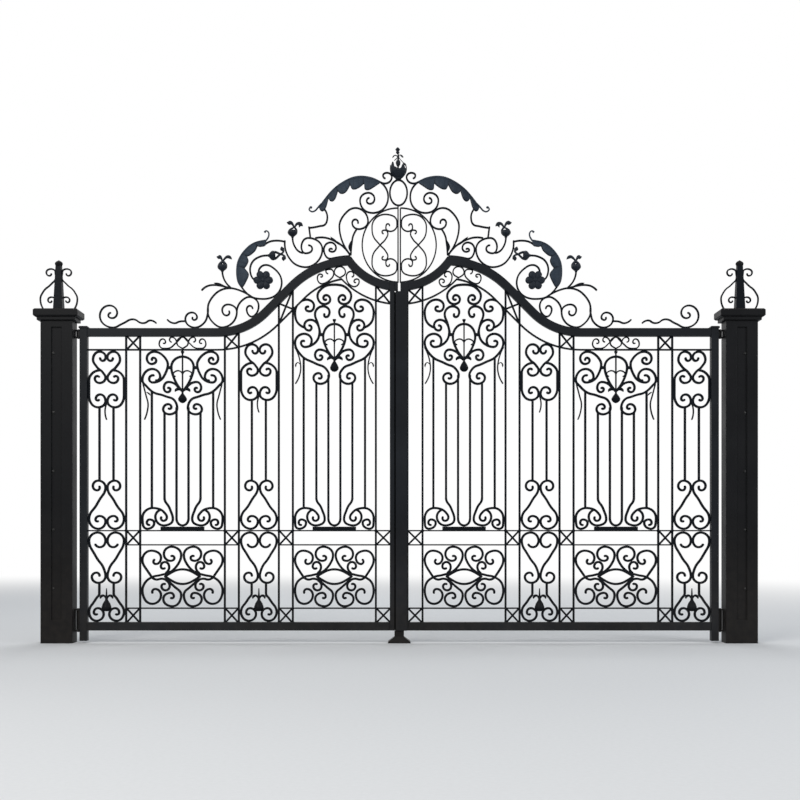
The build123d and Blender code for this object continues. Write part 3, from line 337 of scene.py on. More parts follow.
frame_paint = paint(
    "frame_satin_black",
    deep=(0.0040, 0.0052, 0.0072), faded=(0.0085, 0.0104, 0.0135), rubbed=(0.028, 0.029, 0.030),
    flat_scale=24.0, flat_depth=0.25, grain=0.10,
    roughness=0.44, rub_radius=0.0022, dust_and_ground_light_amount=0.18, specular=0.14)
bar_paint = paint(
    "bar_forged_black",
    deep=(0.0012, 0.0024, 0.0044), faded=(0.0034, 0.0054, 0.0086), rubbed=(0.015, 0.019, 0.025),
    flat_scale=70.0, flat_depth=0.9, grain=0.12,
    roughness=0.48, rub_radius=0.0014, dust_and_ground_light_amount=0.09, specular=0.085)
leaf_paint = paint(
    "cast_leaf_slate",
    deep=(0.0125, 0.0195, 0.030), faded=(0.030, 0.043, 0.060), rubbed=(0.060, 0.071, 0.085),
    flat_scale=110.0, flat_depth=0.6, grain=0.2,
    roughness=0.55, rub_radius=0.0014, dust_and_ground_light_amount=0.08, specular=0.18,
    painted_shade_tone=(0.0022, 0.0034, 0.0058))
flower_paint = paint(
    "forged_flower_dark",
    deep=(0.0048, 0.0075, 0.0125), faded=(0.0125, 0.0180, 0.0265), rubbed=(0.040, 0.046, 0.055),
    flat_scale=110.0, flat_depth=0.6, grain=0.2,
    roughness=0.50, rub_radius=0.0014, dust_and_ground_light_amount=0.08, specular=0.17)
post_paint = paint(
    "post_satin_black",
    deep=(0.0028, 0.0030, 0.0038), faded=(0.0060, 0.0062, 0.0070), rubbed=(0.024, 0.022, 0.021),
    flat_scale=12.0, flat_depth=0.2, grain=0.14,
    roughness=0.46, rub_radius=0.0030, dust_and_ground_light_amount=0.16, specular=0.11)
bolt_paint = paint(
    "bolt_head_black",
    deep=(0.0020, 0.0022, 0.0026), faded=(0.0045, 0.0045, 0.0050), rubbed=(0.060, 0.054, 0.048),
    flat_scale=160.0, flat_depth=0.5, grain=0.3,
    roughness=0.30, rub_radius=0.0010, dust_and_ground_light_amount=0.12, specular=0.35)
hinge_steel = paint(
    "hinge_greased_steel",
    deep=(0.006, 0.006, 0.007), faded=(0.016, 0.015, 0.014), rubbed=(0.070, 0.062, 0.055),
    flat_scale=90.0, flat_depth=0.4, grain=0.2,
    roughness=0.38, rub_radius=0.0012, dust_and_ground_light_amount=0.30, specular=0.3, dust_and_ground_light_tone=OILY_DIRT)
rubber = paint(
    "black_rubber",
    deep=(0.0045, 0.0045, 0.0050), faded=(0.0080, 0.0080, 0.0085), rubbed=(0.012, 0.012, 0.012),
    flat_scale=200.0, flat_depth=0.1, grain=0.35,
    roughness=0.72, rub_radius=0.0008, dust_and_ground_light_amount=0.10, specular=0.10)


# Acanthus leaves

LOBE_STEPS, ACROSS_STEPS, BACK_STEPS = 26, 26, 400
HALF_THICK, RELIEF_RISE, LOBE_CURL = 3.6, 9.0, 6.0
RIB_RISE, HOLLOW_DEPTH, LOBE_RISE, VEIN_RISE = 0.85, 0.30, 0.75, 0.22  # shares of the relief
REAR_RELIEF = 0.45  # how much of the front's relief the back shows
FULL_FORM_WIDTH = 40  # the leaf's width from which its relief is whole
RIM, VALLEY, VEIN = 9, 3.5, 2  # how wide the painted shade lies
VALLEY_SHADE, VEIN_SHADE = 0.85, 0.4


def bump_at(v, middle, spread):
    """exp(-((v - middle) / spread)^2)"""
    return np.exp(-((v - middle) / spread) ** 2)


def acanthus(back, lobes):
    """Closed leaf between a smooth back line B and a lobed edge E. A point is B + (E - B) v.
    Its thickness follows (1 - |2v - 1|^3.2)^(1/2), a rib stands near the back, and across each
    lobe the front is raised by cos of the lobe's own run, with finer veins of three times the
    count, both growing towards the edge, so the notches are valleys. The fourth number of a
    point says where shade is painted: it falls from 1 to 0 in the last 9 mm to the edge, and it
    is lower in the valleys and along the veins."""
    runs = [smooth_line(lobe, LOBE_STEPS + 1) for lobe in lobes]
    edge = np.concatenate([runs[0]] + [run[1:] for run in runs[1:]])
    lengths = [math.dist(lobe[0], lobe[-1]) for lobe in lobes]
    stops = np.append(0, np.cumsum(lengths)) / sum(lengths)
    share = np.interp(np.arange(len(edge)), np.arange(len(lobes) + 1) * LOBE_STEPS, stops)
    fine_back, fine_share = smooth_line(back, BACK_STEPS), np.linspace(0, 1, BACK_STEPS)
    spine = np.stack([np.interp(share, fine_share, fine_back[:, k]) for k in (0, 1)], 1)

    v = (1 - np.cos(np.pi * np.arange(ACROSS_STEPS + 1) / ACROSS_STEPS)) / 2
    run = (np.arange(len(edge)) % LOBE_STEPS) / LOBE_STEPS
    run[-1] = 1.0
    width = np.linalg.norm(edge - spine, axis=1)[:, None]
    full = np.clip(width / FULL_FORM_WIDTH, 0, 1) ** 0.6
    hull = np.sqrt(np.clip(1 - np.abs(2 * v - 1) ** 3.2, 0, 1))[None]
    lobe = (0.5 - 0.5 * np.cos(2 * np.pi * run))[:, None]
    veins = np.abs(np.sin(3 * np.pi * run))[:, None]
    grow = np.clip((v - 0.12) / 0.5, 0, 1)[None]
    rib = bump_at(v, 0.10, 0.07)[None]
    hollow = bump_at(v, 0.30, 0.13)[None]
    spread = LOBE_RISE * lobe**0.6 + VEIN_RISE * veins
    swell = RIB_RISE * rib - HOLLOW_DEPTH * hollow + grow * spread
    relief = RELIEF_RISE * full * hull * swell
    curl = -LOBE_CURL * full * (v**3)[None] * lobe
    plate = HALF_THICK * hull * (0.55 + 0.45 * full)

    length = np.repeat(lengths, LOBE_STEPS)
    length = np.append(length, length[-1])[:, None]
    to_notch = np.minimum(run, 1 - run)[:, None] * length
    to_vein = np.abs((3 * run[:, None] + 0.5) % 1 - 0.5) / 3 * length
    # Painted shade: darker paint along the rim, in the valleys and along the veins
    high = np.clip((1 - v)[None] * width / RIM, 0, 1)
    high = high * (1 - VALLEY_SHADE * bump_at(to_notch, 0, VALLEY) * grow)
    high = high * (1 - VEIN_SHADE * bump_at(to_vein, 0, VEIN) * grow)

    flat = spine[:, None] + (edge - spine)[:, None] * v[None, :, None]
    outward = np.stack([flat[..., 0], curl - plate - relief, flat[..., 1], high], -1)
    rear = curl + plate - REAR_RELIEF * relief
    inward = np.stack([flat[..., 0], rear, flat[..., 1], high], -1)
    return capped(np.concatenate([outward, inward[:, ::-1][:, 1:-1]], 1))


LOWER_BACK = [(-804, 2419), (-859, 2407), (-905, 2381), (-947, 2335), (-972, 2285), (-979, 2226),
              (-971, 2165), (-944, 2122)]
LOWER_LOBES = [[(-796, 2398), (-806, 2378), (-832, 2373), (-850, 2377)],
               [(-850, 2377), (-863, 2348), (-890, 2324), (-911, 2316)],
               [(-911, 2316), (-903, 2290), (-911, 2266), (-926, 2247)],
               [(-926, 2247), (-901, 2208), (-920, 2158), (-944, 2122)]]
LOWER_HOOK = [(-816, 2398), (-798, 2414), (-784, 2436), (-783, 2459), (-797, 2471), (-809, 2461)]
UPPER_BACK = [(-104, 2765), (-158, 2791), (-215, 2802), (-264, 2799), (-308, 2784), (-361, 2753),
              (-407, 2714), (-448, 2665), (-483, 2617)]
UPPER_LOBES = [[(-104, 2765), (-150, 2731), (-182, 2713), (-206, 2719), (-211, 2752)],
               [(-211, 2752), (-239, 2728), (-263, 2717), (-283, 2720), (-294, 2743)],
               [(-294, 2743), (-314, 2706), (-335, 2691), (-354, 2693), (-367, 2706)],
               [(-367, 2706), (-381, 2663), (-397, 2646), (-413, 2648), (-424, 2662)],
               [(-424, 2662), (-438, 2609), (-456, 2586), (-474, 2593), (-483, 2617)]]
UPPER_HOOK = [(-466, 2634), (-486, 2612), (-504, 2592), (-524, 2586), (-540, 2598), (-533, 2613),
              (-524, 2607)]
HOOK_STEPS, HOOK_ROOT, HOOK_TIP = 60, 5.6, 4.0
EYE_PLACE, EYE_LENGTH = 0.96, 0.05  # shares of the hook's run


def tapered_hook(points, eye):
    """A thin bar that narrows along its curl and ends in a small round eye."""
    line = smooth_line(points, HOOK_STEPS)
    t = np.linspace(0, 1, HOOK_STEPS)
    half = HOOK_ROOT + (HOOK_TIP - HOOK_ROOT) * t
    half = half + (eye - HOOK_TIP) * bump_at(t, EYE_PLACE, EYE_LENGTH)
    half[-1] *= 0.6
    return carried(line, half, half, sides=14, square=0.8)


# Rosette, buds and crown finial

ROSETTE_AT = (-816, 0, 2175)
PETAL_ARC = np.pi / 3
RIM_HEIGHT, UNDER_HEIGHT = 5.6, 5.2  # of a face's rim and of its flat back, from the middle plane
PETAL_RISE, PETAL_RIPPLE, BOSS_RISE, BOSS_REACH = 7.5, 2.2, 0.85, 1.2


def rosette_face(circle, petal, hub):
    """One face of a six-petalled flower, looking to the front: the rim is the far side of six
    circles, R = d cos a + (p^2 - d^2 sin^2 a)^(1/2), each petal is domed along and across, with
    a hollow towards the middle boss."""
    angle = np.linspace(0, FULL_TURN, 144, endpoint=False)
    in_petal = (angle + PETAL_ARC / 2) % PETAL_ARC - PETAL_ARC / 2
    rim = circle * np.cos(in_petal) + np.sqrt(petal**2 - (circle * np.sin(in_petal)) ** 2)
    s = np.linspace(0, 1, 26)[1:, None]
    r = rim[None] * s
    fold = np.abs(in_petal / (PETAL_ARC / 2))[None]
    dome = np.sin(np.pi * np.clip(s, 0, 1) ** 1.4) ** 0.7 * (1 - 0.55 * fold**2.2)
    cup = PETAL_RISE * dome + PETAL_RIPPLE * np.cos(3 * np.pi * fold) * s * (1 - s)
    boss = hub * np.sqrt(np.clip(1 - (r / (BOSS_REACH * hub)) ** 2, 0, 1)) * BOSS_RISE
    height = RIM_HEIGHT + np.maximum(cup, boss) * np.sqrt(np.clip(1 - s**10, 0, 1))
    over = np.stack([r * np.cos(angle), r * np.sin(angle), height], 2)
    under = np.stack([r * np.cos(angle), r * np.sin(angle), UNDER_HEIGHT + 0 * r], 2)[::-1]
    return faces_forward(capped(np.concatenate([over, under])))


def blade(points, count, sides=20, thin=0.30):
    """A fleshy leaf along a path of (x, height, half width): the section is an ellipse of that
    half width, 2.2 mm and a share of the width deep, with a rib exp(-(cos a / 0.3)^2) along the
    middle of both faces."""
    least_half_width, least_depth, rib_rise = 0.4, 2.2, 0.30
    line = smooth_line(points, count)
    w = np.maximum(line[:, 2], least_half_width)
    shell = carried(line[:, :2], w, least_depth + thin * w, sides)
    angle = np.linspace(0, FULL_TURN, sides, endpoint=False)
    shell[..., 1] *= 1 + rib_rise * bump_at(np.cos(angle), 0, 0.3)
    return shell


TULIP = [(3, -6), (6, 0), (13, 5), (20, 11), (26, 18), (28.7, 26), (27.5, 34), (24, 39), (21, 38),
         (20, 33), (12, 30), (2, 29)]
TULIP_COLLAR = [(7.5, -4), (8.8, -1), (7.5, 2)]
UPRIGHT_BANDS = [
    [(26, 27, 4), (24, 40, 5.8), (19, 49, 6.2), (13, 57, 5.8), (6, 65, 6), (1, 75, 7),
     (-6, 83, 10), (-15, 85, 13.2), (-24, 85, 10.5), (-35, 88, 1.2)],
    [(-24, 29, 4), (-19, 39, 6.2), (-10, 47, 6.5), (2, 54, 5.4), (12, 58, 5.4), (17, 66, 6),
     (24, 76, 7.5), (33, 81, 9.5), (44, 79, 12), (53, 73, 9.5), (62, 65, 1.5)],
    [(44, 78, 6), (43, 68, 6.5), (39, 57, 1.2)]]
OUTER_BANDS = [
    [(25, 26, 4.5), (22, 38, 7.5), (13, 49, 9), (4, 59, 8), (-2, 68, 6), (-7, 78, 7.5),
     (-15, 85, 12.5), (-24, 85, 10.5), (-35, 88, 1.2)],
    [(-25, 26, 4.5), (-20, 38, 7.5), (-10, 49, 9), (0, 58, 8), (7, 67, 6), (16, 78, 7),
     (27, 86, 9), (38, 87, 10), (48, 81, 8), (57, 72, 1.5)]]
LYING_BANDS = [
    [(23, 28, 6.5), (18, 42, 7.5), (6, 56, 6.8), (-6, 68, 6.5), (-12, 79, 6), (-22, 89, 6),
     (-31, 87, 9), (-41, 81, 12.5), (-54, 78, 1.5)],
    [(-22, 28, 6), (-20, 42, 7.5), (-15, 56, 7.2), (-8, 70, 6.8), (-4, 84, 6), (4, 95, 7),
     (14, 93, 13), (22, 90, 11), (33, 90, 1.5)]]
BUDS = [(-1061, 2228, 0, OUTER_BANDS), (-784, 2323, 90, LYING_BANDS),
        (-640, 2434, 0, UPRIGHT_BANDS)]  # x, z, turn, bands


def tulip_bud(x, z, turn, bands):
    """An open bud on its stem: a bulb with eight soft gadroons and a hollow top, and bands that
    rise from its sides, cross above it and roll over into broad leaves."""
    bulb = turned(smooth_line(TULIP, 44), sides=64, lobes=8, depth=0.035)
    shells = [bulb, turned(TULIP_COLLAR, sides=24)]
    shells += [blade(band, count=52) for band in bands]
    return [placed(shell, x, 0, z, turn) for shell in shells]


CUP_LEAVES = np.array([(0, 73), (52, 84), (128, 92), (178, 87), (224, 96), (308, 83)])
TIP_FALL = [(0, 1), (5, 0.95), (10, 0.78), (14, 0.5), (17.5, 0.22), (24, 0.04), (30, 0)]
CUP_PROFILE = [(0, 14), (4, 19), (14, 31), (28, 41), (42, 47), (58, 49.5), (75, 48.5), (90, 48),
               (104, 50)]
INNER_BUD = [(8, 4), (6, 30), (4, 60), (4, 70), (6.5, 78), (11, 86), (13.3, 97), (12.3, 106),
             (8.5, 114), (5, 119), (4, 124)]
CROWN_SPEAR = [(4, 118), (4, 124), (6.5, 130), (7.3, 135), (5, 141), (3, 148), (5, 152),
               (9.5, 157), (10.5, 161.5), (8.5, 166), (8, 169), (11, 173.5), (13.7, 178.5),
               (9.5, 185), (4, 190.5), (0.6, 193)]
CUP_COLLAR = [(14, -1), (19, 1.5), (19, 5), (13, 8)]
DROOPING = [
    [(0, 136, 2.6), (3, 142, 2.5), (9, 146, 2.6), (15, 143.5, 4.5), (21, 139, 5.6), (26, 134, 4.5),
     (29, 130, 1.4)],
    [(0, 133, 3), (-8, 139, 3.2), (-17, 144, 3), (-24, 142, 3.2), (-30, 137, 4), (-35, 128, 1.4)],
    [(-3, 132, 2.5), (-11, 124, 3), (-18, 118, 3), (-25, 111, 1.2)],
    [(3, 129, 2.4), (10, 121, 2.2), (18, 112, 2.2), (28, 101, 2.5), (36, 94, 4.5), (42, 88, 5),
     (46.5, 78, 3), (48, 66, 3.5), (46.5, 54, 3)]]
FRONT_DROOP = [(0, 134, 2.6), (8, 143, 2.6), (17, 142, 4), (25, 134, 4), (29, 127, 1.2)]
CUP_STEPS, CUP_WALL, CUP_HOLLOW, CUP_FLOOR = 40, 3.6, 4, 5
BUD_LEAN, SPEAR_LEAN, LEAN_FROM, LEAN_OVER = 1.5, 4, 120, 45


def along(pairs, value):
    """The value's partner on the straight spans between pairs."""
    given = np.array(pairs, float)
    return np.interp(value, given[:, 0], given[:, 1])


def cup_leaf_crown(foot_z, axis_x):
    """The crown's finial: a cup of six upright leaves, a bud inside it, small leaves that droop
    from the stem and a spear. The rim stands at b + (t - b) g(d), where t is the nearest leaf's
    tip, d the angle from it, g falls from 1 to 0 within 30 degrees, and b is 52 to 62; the
    radius follows a profile of the height. Bud and spear lean to the left by up to 4."""
    turn = np.linspace(0, 360, 360, endpoint=False)
    angle = np.radians(turn)[None]
    away = np.abs((turn[:, None] - CUP_LEAVES[:, 0] + 180) % 360 - 180)
    tip = CUP_LEAVES[away.argmin(1), 1]
    base = 57 + 5 * np.sin(angle[0]) + 8 * bump_at(turn, 250, 12)
    reach = (base + (tip - base) * along(TIP_FALL, away.min(1)))[None]
    s = np.linspace(0, 1, CUP_STEPS)[:, None]
    z = s * reach
    ribs = 1 + 0.03 * np.cos(12 * angle) * np.clip(s * 2, 0, 1) + 0.012 * np.cos(36 * angle) * s
    outer_r = along(CUP_PROFILE, z) * ribs
    inner_r = np.maximum(outer_r - CUP_WALL * (1.1 - 0.6 * s), CUP_HOLLOW)
    inner_z = np.maximum(z + 0.6, CUP_FLOOR)
    outer = np.stack([outer_r * np.cos(angle), outer_r * np.sin(angle), z + 1], 2)
    inner = np.stack([inner_r * np.cos(angle), inner_r * np.sin(angle), inner_z], 2)
    shells = [capped(np.concatenate([outer, inner[::-1]]))]
    bud = turned(smooth_line(INNER_BUD, 50), sides=48, lobes=6, depth=0.06)
    shells.append(bud + [-BUD_LEAN, 0, 0])
    spear = turned(smooth_line(CROWN_SPEAR, 90), sides=40, lobes=4, depth=0.05)
    lean = np.pi / 2 * np.clip((spear[..., 2] - LEAN_FROM) / LEAN_OVER, 0, 1)
    spear[..., 0] -= SPEAR_LEAN * np.sin(lean) ** 2
    shells.append(spear)
    shells.append(turned(CUP_COLLAR, sides=40))
    shells += [blade(line, count=44, sides=16, thin=0.5) for line in DROOPING]
    for sign in (1, -1):
        quarter = blade(FRONT_DROOP, count=36, sides=16, thin=0.5)
        shells.append(np.stack([quarter[..., 1], sign * quarter[..., 0], quarter[..., 2]], -1))
    return [placed(shell, axis_x, 0, foot_z) for shell in shells]


for side in (1, -1):
    name, body = LEAF_NAME[side], LEAF_BODY[side]
    leaves = piece(name + "_acanthus_crest_leaves",
                   [acanthus(LOWER_BACK, LOWER_LOBES), acanthus(UPPER_BACK, UPPER_LOBES),
                    tapered_hook(LOWER_HOOK, eye=7.0), tapered_hook(UPPER_HOOK, eye=7.5)],
                   side, body, leaf_paint, crease=60)
    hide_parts(name + "_acanthus_leaves")
    face = rosette_face(circle=37.5, petal=21.5, hub=11.0)
    flowers = [placed(face * [1, facing, 1], *ROSETTE_AT) for facing in (1, -1)]
    rosette = piece(name + "_six_petal_rosette", flowers, side, body, flower_paint, crease=60)
    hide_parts(name + "_rosette")
    shells = [shell for bud in BUDS for shell in tulip_bud(*bud)]
    crest_buds = piece(name + "_gadrooned_buds", shells, side, body, flower_paint, crease=60)
    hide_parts(name + "_buds")

crown = piece("crown_leaf_cup_and_spear", cup_leaf_crown(foot_z=2780.3, axis_x=-5.0), 1,
              "left_leaf", flower_paint, crease=60)
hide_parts("left_crown_finial")


# Rubber, small forged leaves, and the heads of the post finials

# A seal fills the meeting seam; being dark, it also stands in for the seam's shade
SEAM_X, SEAM_FOOT, SEAM_TOP, SEAM_STEPS = 23.95, 76, 2101, 90
LIP_X, LIP_Y = 1.65, -13.5  # from the seam
seam = np.stack([np.full(SEAM_STEPS, SEAM_X), np.linspace(SEAM_FOOT, SEAM_TOP, SEAM_STEPS)], 1)
strip = carried(seam, half_width=2.93, half_depth=12.0, sides=20, square=0.35)
lip = carried(seam + [LIP_X, 0], half_width=2.35, half_depth=2.0, sides=20, square=0.35)
lip = lip + [0, LIP_Y, 0]
piece("meeting_seal_and_seam_shade", [strip, lip], -1, "right_leaf", rubber, crease=40)

PAD_HALF, PAD_DEPTH, PAD_HEIGHT, PAD_STEPS = 27, 26.0, 70.9, 40
PAD_THICK, PAD_RIB, PAD_RIBS = 1.75, 0.25, 9
across = np.stack([np.linspace(-PAD_HALF, PAD_HALF, PAD_STEPS), np.full(PAD_STEPS, PAD_HEIGHT)], 1)
ribs = PAD_THICK + PAD_RIB * np.cos(np.linspace(0, 2 * PAD_RIBS * np.pi, PAD_STEPS))
pad = carried(across, ribs, PAD_DEPTH, sides=24, square=0.3)
piece("stop_ribbed_pad", [pad], 1, "posts", rubber, crease=40)

ONION_LEAF = [(3, 262, 3.5), (10, 277, 6), (20, 283, 7), (30, 278, 7), (37, 266, 2)]
ONION_AXES = (-1756, -842)
OVAL_LEAF = [(3, -8, 3.5), (14, 5, 7), (28, 9, 9.5), (40, 2, 8), (45, -8, 2)]
OVAL_FEET = ((-1300, 1513), (-386, 1702))
SMALL_LEAVES = [
    [(-289, 2344, 3), (-296, 2360, 6), (-298, 2377, 7.5), (-293, 2395, 5.5), (-286, 2412, 2.5)],
    [(-413, 2436, 1.2), (-403, 2426, 5), (-390, 2414, 7.5), (-373, 2400, 6), (-356, 2385, 2)],
    [(-1046, 2139, 3), (-1063, 2145, 5.5), (-1082, 2151, 7.5), (-1098, 2155, 6),
     (-1112, 2158, 1.5)],
    [(-594, 1670, 2.5), (-607, 1681, 2.6), (-618, 1674, 4), (-621, 1662, 4.5), (-620, 1653, 1.2)],
    [(-184, 1670, 2.5), (-170, 1681, 2.6), (-159, 1674, 4), (-155, 1662, 4.5), (-156, 1653, 1.2)],
    [(-1516, 1503, 2.5), (-1508, 1499, 4), (-1499, 1492, 4.8), (-1492, 1483, 1.5)],
]
SPEAR_HEAD = [(14, -14), (16, -9), (19, -3), (22, 5), (22.5, 11), (19, 18), (12, 24), (6, 27),
              (3, 29.5), (0.6, 31)]
POST_X, SPEAR_FOOT = -2042, 2264
for side in (1, -1):
    name, body = LEAF_NAME[side], LEAF_BODY[side]
    onion, oval = blade(ONION_LEAF, count=40), blade(OVAL_LEAF, count=40)
    leaves = [placed(onion * [sign, 1, 1], x, 0, 0) for x in ONION_AXES for sign in (1, -1)]
    leaves += [placed(oval * [sign, 1, 1], x, 0, z) for x, z in OVAL_FEET for sign in (1, -1)]
    piece(name + "_onion_and_oval_leaves", leaves, side, body, bar_paint, crease=60)
    small = [blade(line, count=30, sides=14) for line in SMALL_LEAVES]
    piece(name + "_small_forged_leaves", small, side, body, bar_paint, crease=60)
    spear = turned(smooth_line(SPEAR_HEAD, 48), sides=48, lobes=4, depth=0.05)
    head = placed(spear, POST_X, 0, SPEAR_FOOT)
    piece(name + "_post_spear_head", [head], side, "posts", post_paint, crease=50)


# Recess bolts, hinge pin caps and weld beads

DOME = [(0.4, 0), (9.3, 0), (9.7, 0.8), (9.3, 1.8), (7.4, 2.1), (7.1, 3.2), (6.1, 5.6), (4.0, 7.2),
        (1.6, 7.9), (0.4, 8.0)]
BOLT_X, BOLT_Y, BOLT_HEIGHTS = -2062, -45, (1728, 1374, 1025, 676, 326)
PIN_CAP = [(0.4, 0), (7.4, 0), (7.8, 0.9), (7.1, 2.6), (4.6, 3.8), (0.4, 4.2)]
PIN_X, PIN_Y, CAP_GAP = -1930, 22.5, 0.1
PIN_ENDS = ((1830, -1), (1880, 1), (66, -1), (202, 1))  # height, and 1 up or -1 down
for side in (1, -1):
    name = LEAF_NAME[side]
    dome, cap = faces_forward(turned(DOME, sides=28)), turned(PIN_CAP, sides=28)
    heads = [placed(dome, BOLT_X, BOLT_Y, z) for z in BOLT_HEIGHTS]
    piece(name + "_recess_bolts", heads, side, "posts", bolt_paint, crease=35)
    caps = [placed(cap * [1, 1, up], PIN_X, PIN_Y, z + CAP_GAP * up) for z, up in PIN_ENDS]
    piece(name + "_hinge_pin_caps", caps, side, "posts", hinge_steel, crease=40)


PILASTERS = (-1638, -1554, -1046, -962, -722, -638, -140)
PILASTER_HALF = 6
FOOT_WELD, SHELF_WELDS = 124, (676, 668)
BEAD_RADIUS, BEAD_RIPPLE, BEAD_RIPPLES, BEAD_CHANCE, BEAD_STEPS = 2.3, 0.45, 16, 0.3, 48
BEAD_OUT = 0.2  # how far the ring's middle lies outside the bar
SHELF_SEED = 20


def weld_ring(x, z, seed):
    """A bead round a bar: a ring that follows a square of the bar's size with rounded corners,
    whose radius swells and shrinks like laid weld, r = 2.3 + 0.45 sin(16 a) and up to 0.3 more
    or less at random."""
    a = np.linspace(0, FULL_TURN, BEAD_STEPS, endpoint=False)
    b = np.linspace(0, FULL_TURN, 7)[None]
    c, s = squared_circle(a, 0.35)
    dice = np.random.default_rng(seed)
    r = BEAD_RADIUS + BEAD_RIPPLE * np.sin(BEAD_RIPPLES * a)
    r = (r + dice.uniform(-BEAD_CHANCE, BEAD_CHANCE, BEAD_STEPS))[:, None]
    half = PILASTER_HALF + BEAD_OUT
    swell_x = c[:, None] * half + r * np.cos(a)[:, None] * np.cos(b)
    swell_y = s[:, None] * half + r * np.sin(a)[:, None] * np.cos(b)
    ring = np.stack([x + swell_x, swell_y, z + r * np.sin(b)], 2)
    return np.transpose(ring, (1, 0, 2))


for side in (1, -1):
    beads = [weld_ring(x, FOOT_WELD, i) for i, x in enumerate(PILASTERS)]
    beads += [weld_ring(x, z, SHELF_SEED + i + z)
              for i, x in enumerate(PILASTERS) for z in SHELF_WELDS]
    piece(LEAF_NAME[side] + "_weld_beads", beads, side, LEAF_BODY[side], bar_paint, crease=80)


# The carried nodes: materials, and eased edges on the heavy sections

COATS = {"post": post_paint, "post_cap": post_paint, "floor_stop": post_paint,
         "hanging_stile": frame_paint, "meeting_stile": frame_paint,
         "top_rail": frame_paint, "bottom_rail": frame_paint,
         "hinge_eyes": hinge_steel, "hinge_pins": hinge_steel}
SAME_POINT, EASED_WIDTH, EASED_STEPS, EASED_FROM = 1e-5, 0.0022, 3, 35
for key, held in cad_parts.items():
    kind = key.split("_", 1)[1] if key != "floor_stop" else key
    coat = COATS.get(kind, bar_paint)
    if not held.material_slots:
        held.data.materials.append(coat)
    for held_slot in held.material_slots:
        held_slot.material = coat
    if coat in (post_paint, frame_paint):
        weld = held.modifiers.new("joined_corners", "WELD")
        weld.merge_threshold = SAME_POINT
        eased = held.modifiers.new("eased_edges", "BEVEL")
        eased.width = EASED_WIDTH
        eased.segments = EASED_STEPS
        eased.limit_method = "ANGLE"
        eased.angle_limit = math.radians(EASED_FROM)
        eased.harden_normals = True


# Stage, camera and light

FLOOR_RADIUS, FLOOR_SIDES = 60, 96
FADE_NEAR, FADE_FAR = 3.5, 13.0


def floor_shader():
    """Pale ground that fades to white far from the gate, with a faint fine grain."""
    material = bpy.data.materials.new("pale_floor")
    material.use_nodes = True
    tree = material.node_tree
    shader = tree.nodes["Principled BSDF"]
    out = tree.nodes["Material Output"]
    place = object_place(tree)
    grain = noise(tree, place, 60.0, detail=6.0)
    pale = blend_colours(tree, grain, (0.66, 0.66, 0.655, 1), (0.72, 0.72, 0.715, 1))
    tree.links.new(pale, shader.inputs["Base Color"])
    shader.inputs["Roughness"].default_value = 0.85
    shader.inputs["Specular IOR Level"].default_value = 0.2
    away = node(tree, "ShaderNodeVectorMath", {0: place}, operation="LENGTH").outputs["Value"]
    far = ramp(tree, away, FADE_NEAR, FADE_FAR)
    seen = node(tree, "ShaderNodeLightPath").outputs["Is Camera Ray"]
    white = node(tree, "ShaderNodeEmission", {"Color": (1, 1, 1, 1), "Strength": 1.0})
    faded = calc(tree, "MULTIPLY", far, seen)
    mixed = node(tree, "ShaderNodeMixShader", {0: faded, 1: shader.outputs[0], 2: white.outputs[0]})
    tree.links.new(mixed.outputs[0], out.inputs["Surface"])
    return material


ground = bpy.data.meshes.new("pale_floor")
ring = np.linspace(0, FULL_TURN, FLOOR_SIDES, endpoint=False)
rim = np.stack([CENTRE + FLOOR_RADIUS * np.cos(ring), FLOOR_RADIUS * np.sin(ring), 0 * ring], 1)
ground.from_pydata(rim.tolist(), [], [list(range(FLOOR_SIDES))])
ground.materials.append(floor_shader())
floor = bpy.data.objects.new("pale_floor", ground)
bpy.context.scene.collection.objects.link(floor)

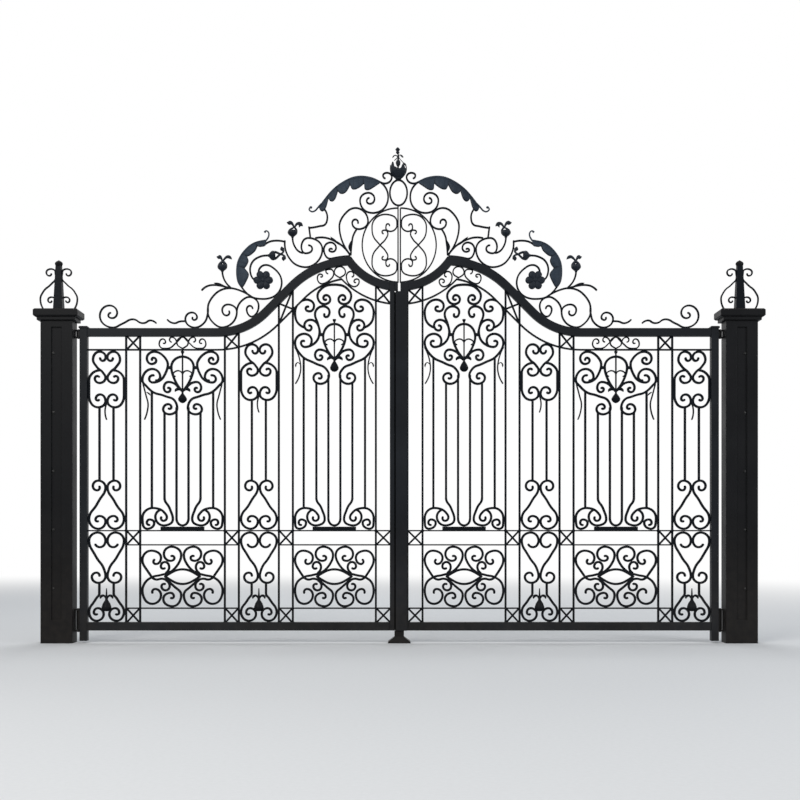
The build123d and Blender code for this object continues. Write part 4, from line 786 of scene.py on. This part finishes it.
world = bpy.data.worlds.new("studio_white")
bpy.context.scene.world = world
world.use_nodes = True
sky = world.node_tree
sky.nodes.clear()
path = node(sky, "ShaderNodeLightPath").outputs
mirrored = calc(sky, "MAXIMUM", path["Is Glossy Ray"], path["Is Transmission Ray"])
seen = calc(sky, "MAXIMUM", path["Is Camera Ray"], mirrored)
soft = node(sky, "ShaderNodeBackground", {"Color": (0.86, 0.92, 1.0, 1), "Strength": 0.50})
white = node(sky, "ShaderNodeBackground", {"Color": (1, 1, 1, 1), "Strength": 1.0})
chosen = node(sky, "ShaderNodeMixShader", {0: seen, 1: soft.outputs[0], 2: white.outputs[0]})
node(sky, "ShaderNodeOutputWorld", {"Surface": chosen.outputs[0]})


def soft_lamp(name, place, aim, size, watts, colour):
    """A rectangular area light at a place, turned to look at its aim."""
    light = bpy.data.lights.new(name, "AREA")
    light.shape = "RECTANGLE"
    light.size, light.size_y = size
    light.energy = watts
    light.color = colour
    lamp = bpy.data.objects.new(name, light)
    bpy.context.scene.collection.objects.link(lamp)
    ahead = np.array(aim, float) - np.array(place, float)
    lamp.location = place
    yaw = math.atan2(ahead[1], ahead[0]) - math.pi / 2
    pitch = math.atan2(ahead[2], math.hypot(ahead[0], ahead[1])) + math.pi / 2
    lamp.rotation_euler = (pitch, 0, yaw)


soft_lamp("front_softbox", place=(-1.6, -6.5, 5.6), aim=(2.0, 0, 1.2), size=(4.5, 3.0),
          watts=330, colour=(1.0, 0.98, 0.95))
soft_lamp("side_softbox", place=(8.0, -3.5, 3.2), aim=(2.2, 0, 1.4), size=(2.5, 3.5),
          watts=120, colour=(0.93, 0.96, 1.0))
soft_lamp("back_softbox", place=(2.0, 5.5, 6.0), aim=(2.0, 0, 1.2), size=(5.0, 2.5),
          watts=170, colour=(0.96, 0.98, 1.0))

CAMERA_AWAY, CAMERA_HEIGHT = 7.3, 0.652
view = bpy.data.cameras.new("photo_view")
view.sensor_width = 36.0
view.lens = 54.75
view.shift_x = 0.001
view.shift_y = 0.1675
view.clip_end = 200.0
camera = bpy.data.objects.new("photo_view", view)
camera.location = (CENTRE, -CAMERA_AWAY, CAMERA_HEIGHT)
camera.rotation_euler = (math.pi / 2, 0, 0)
bpy.context.scene.collection.objects.link(camera)
bpy.context.scene.camera = camera
bpy.context.scene.view_settings.view_transform = "Standard"
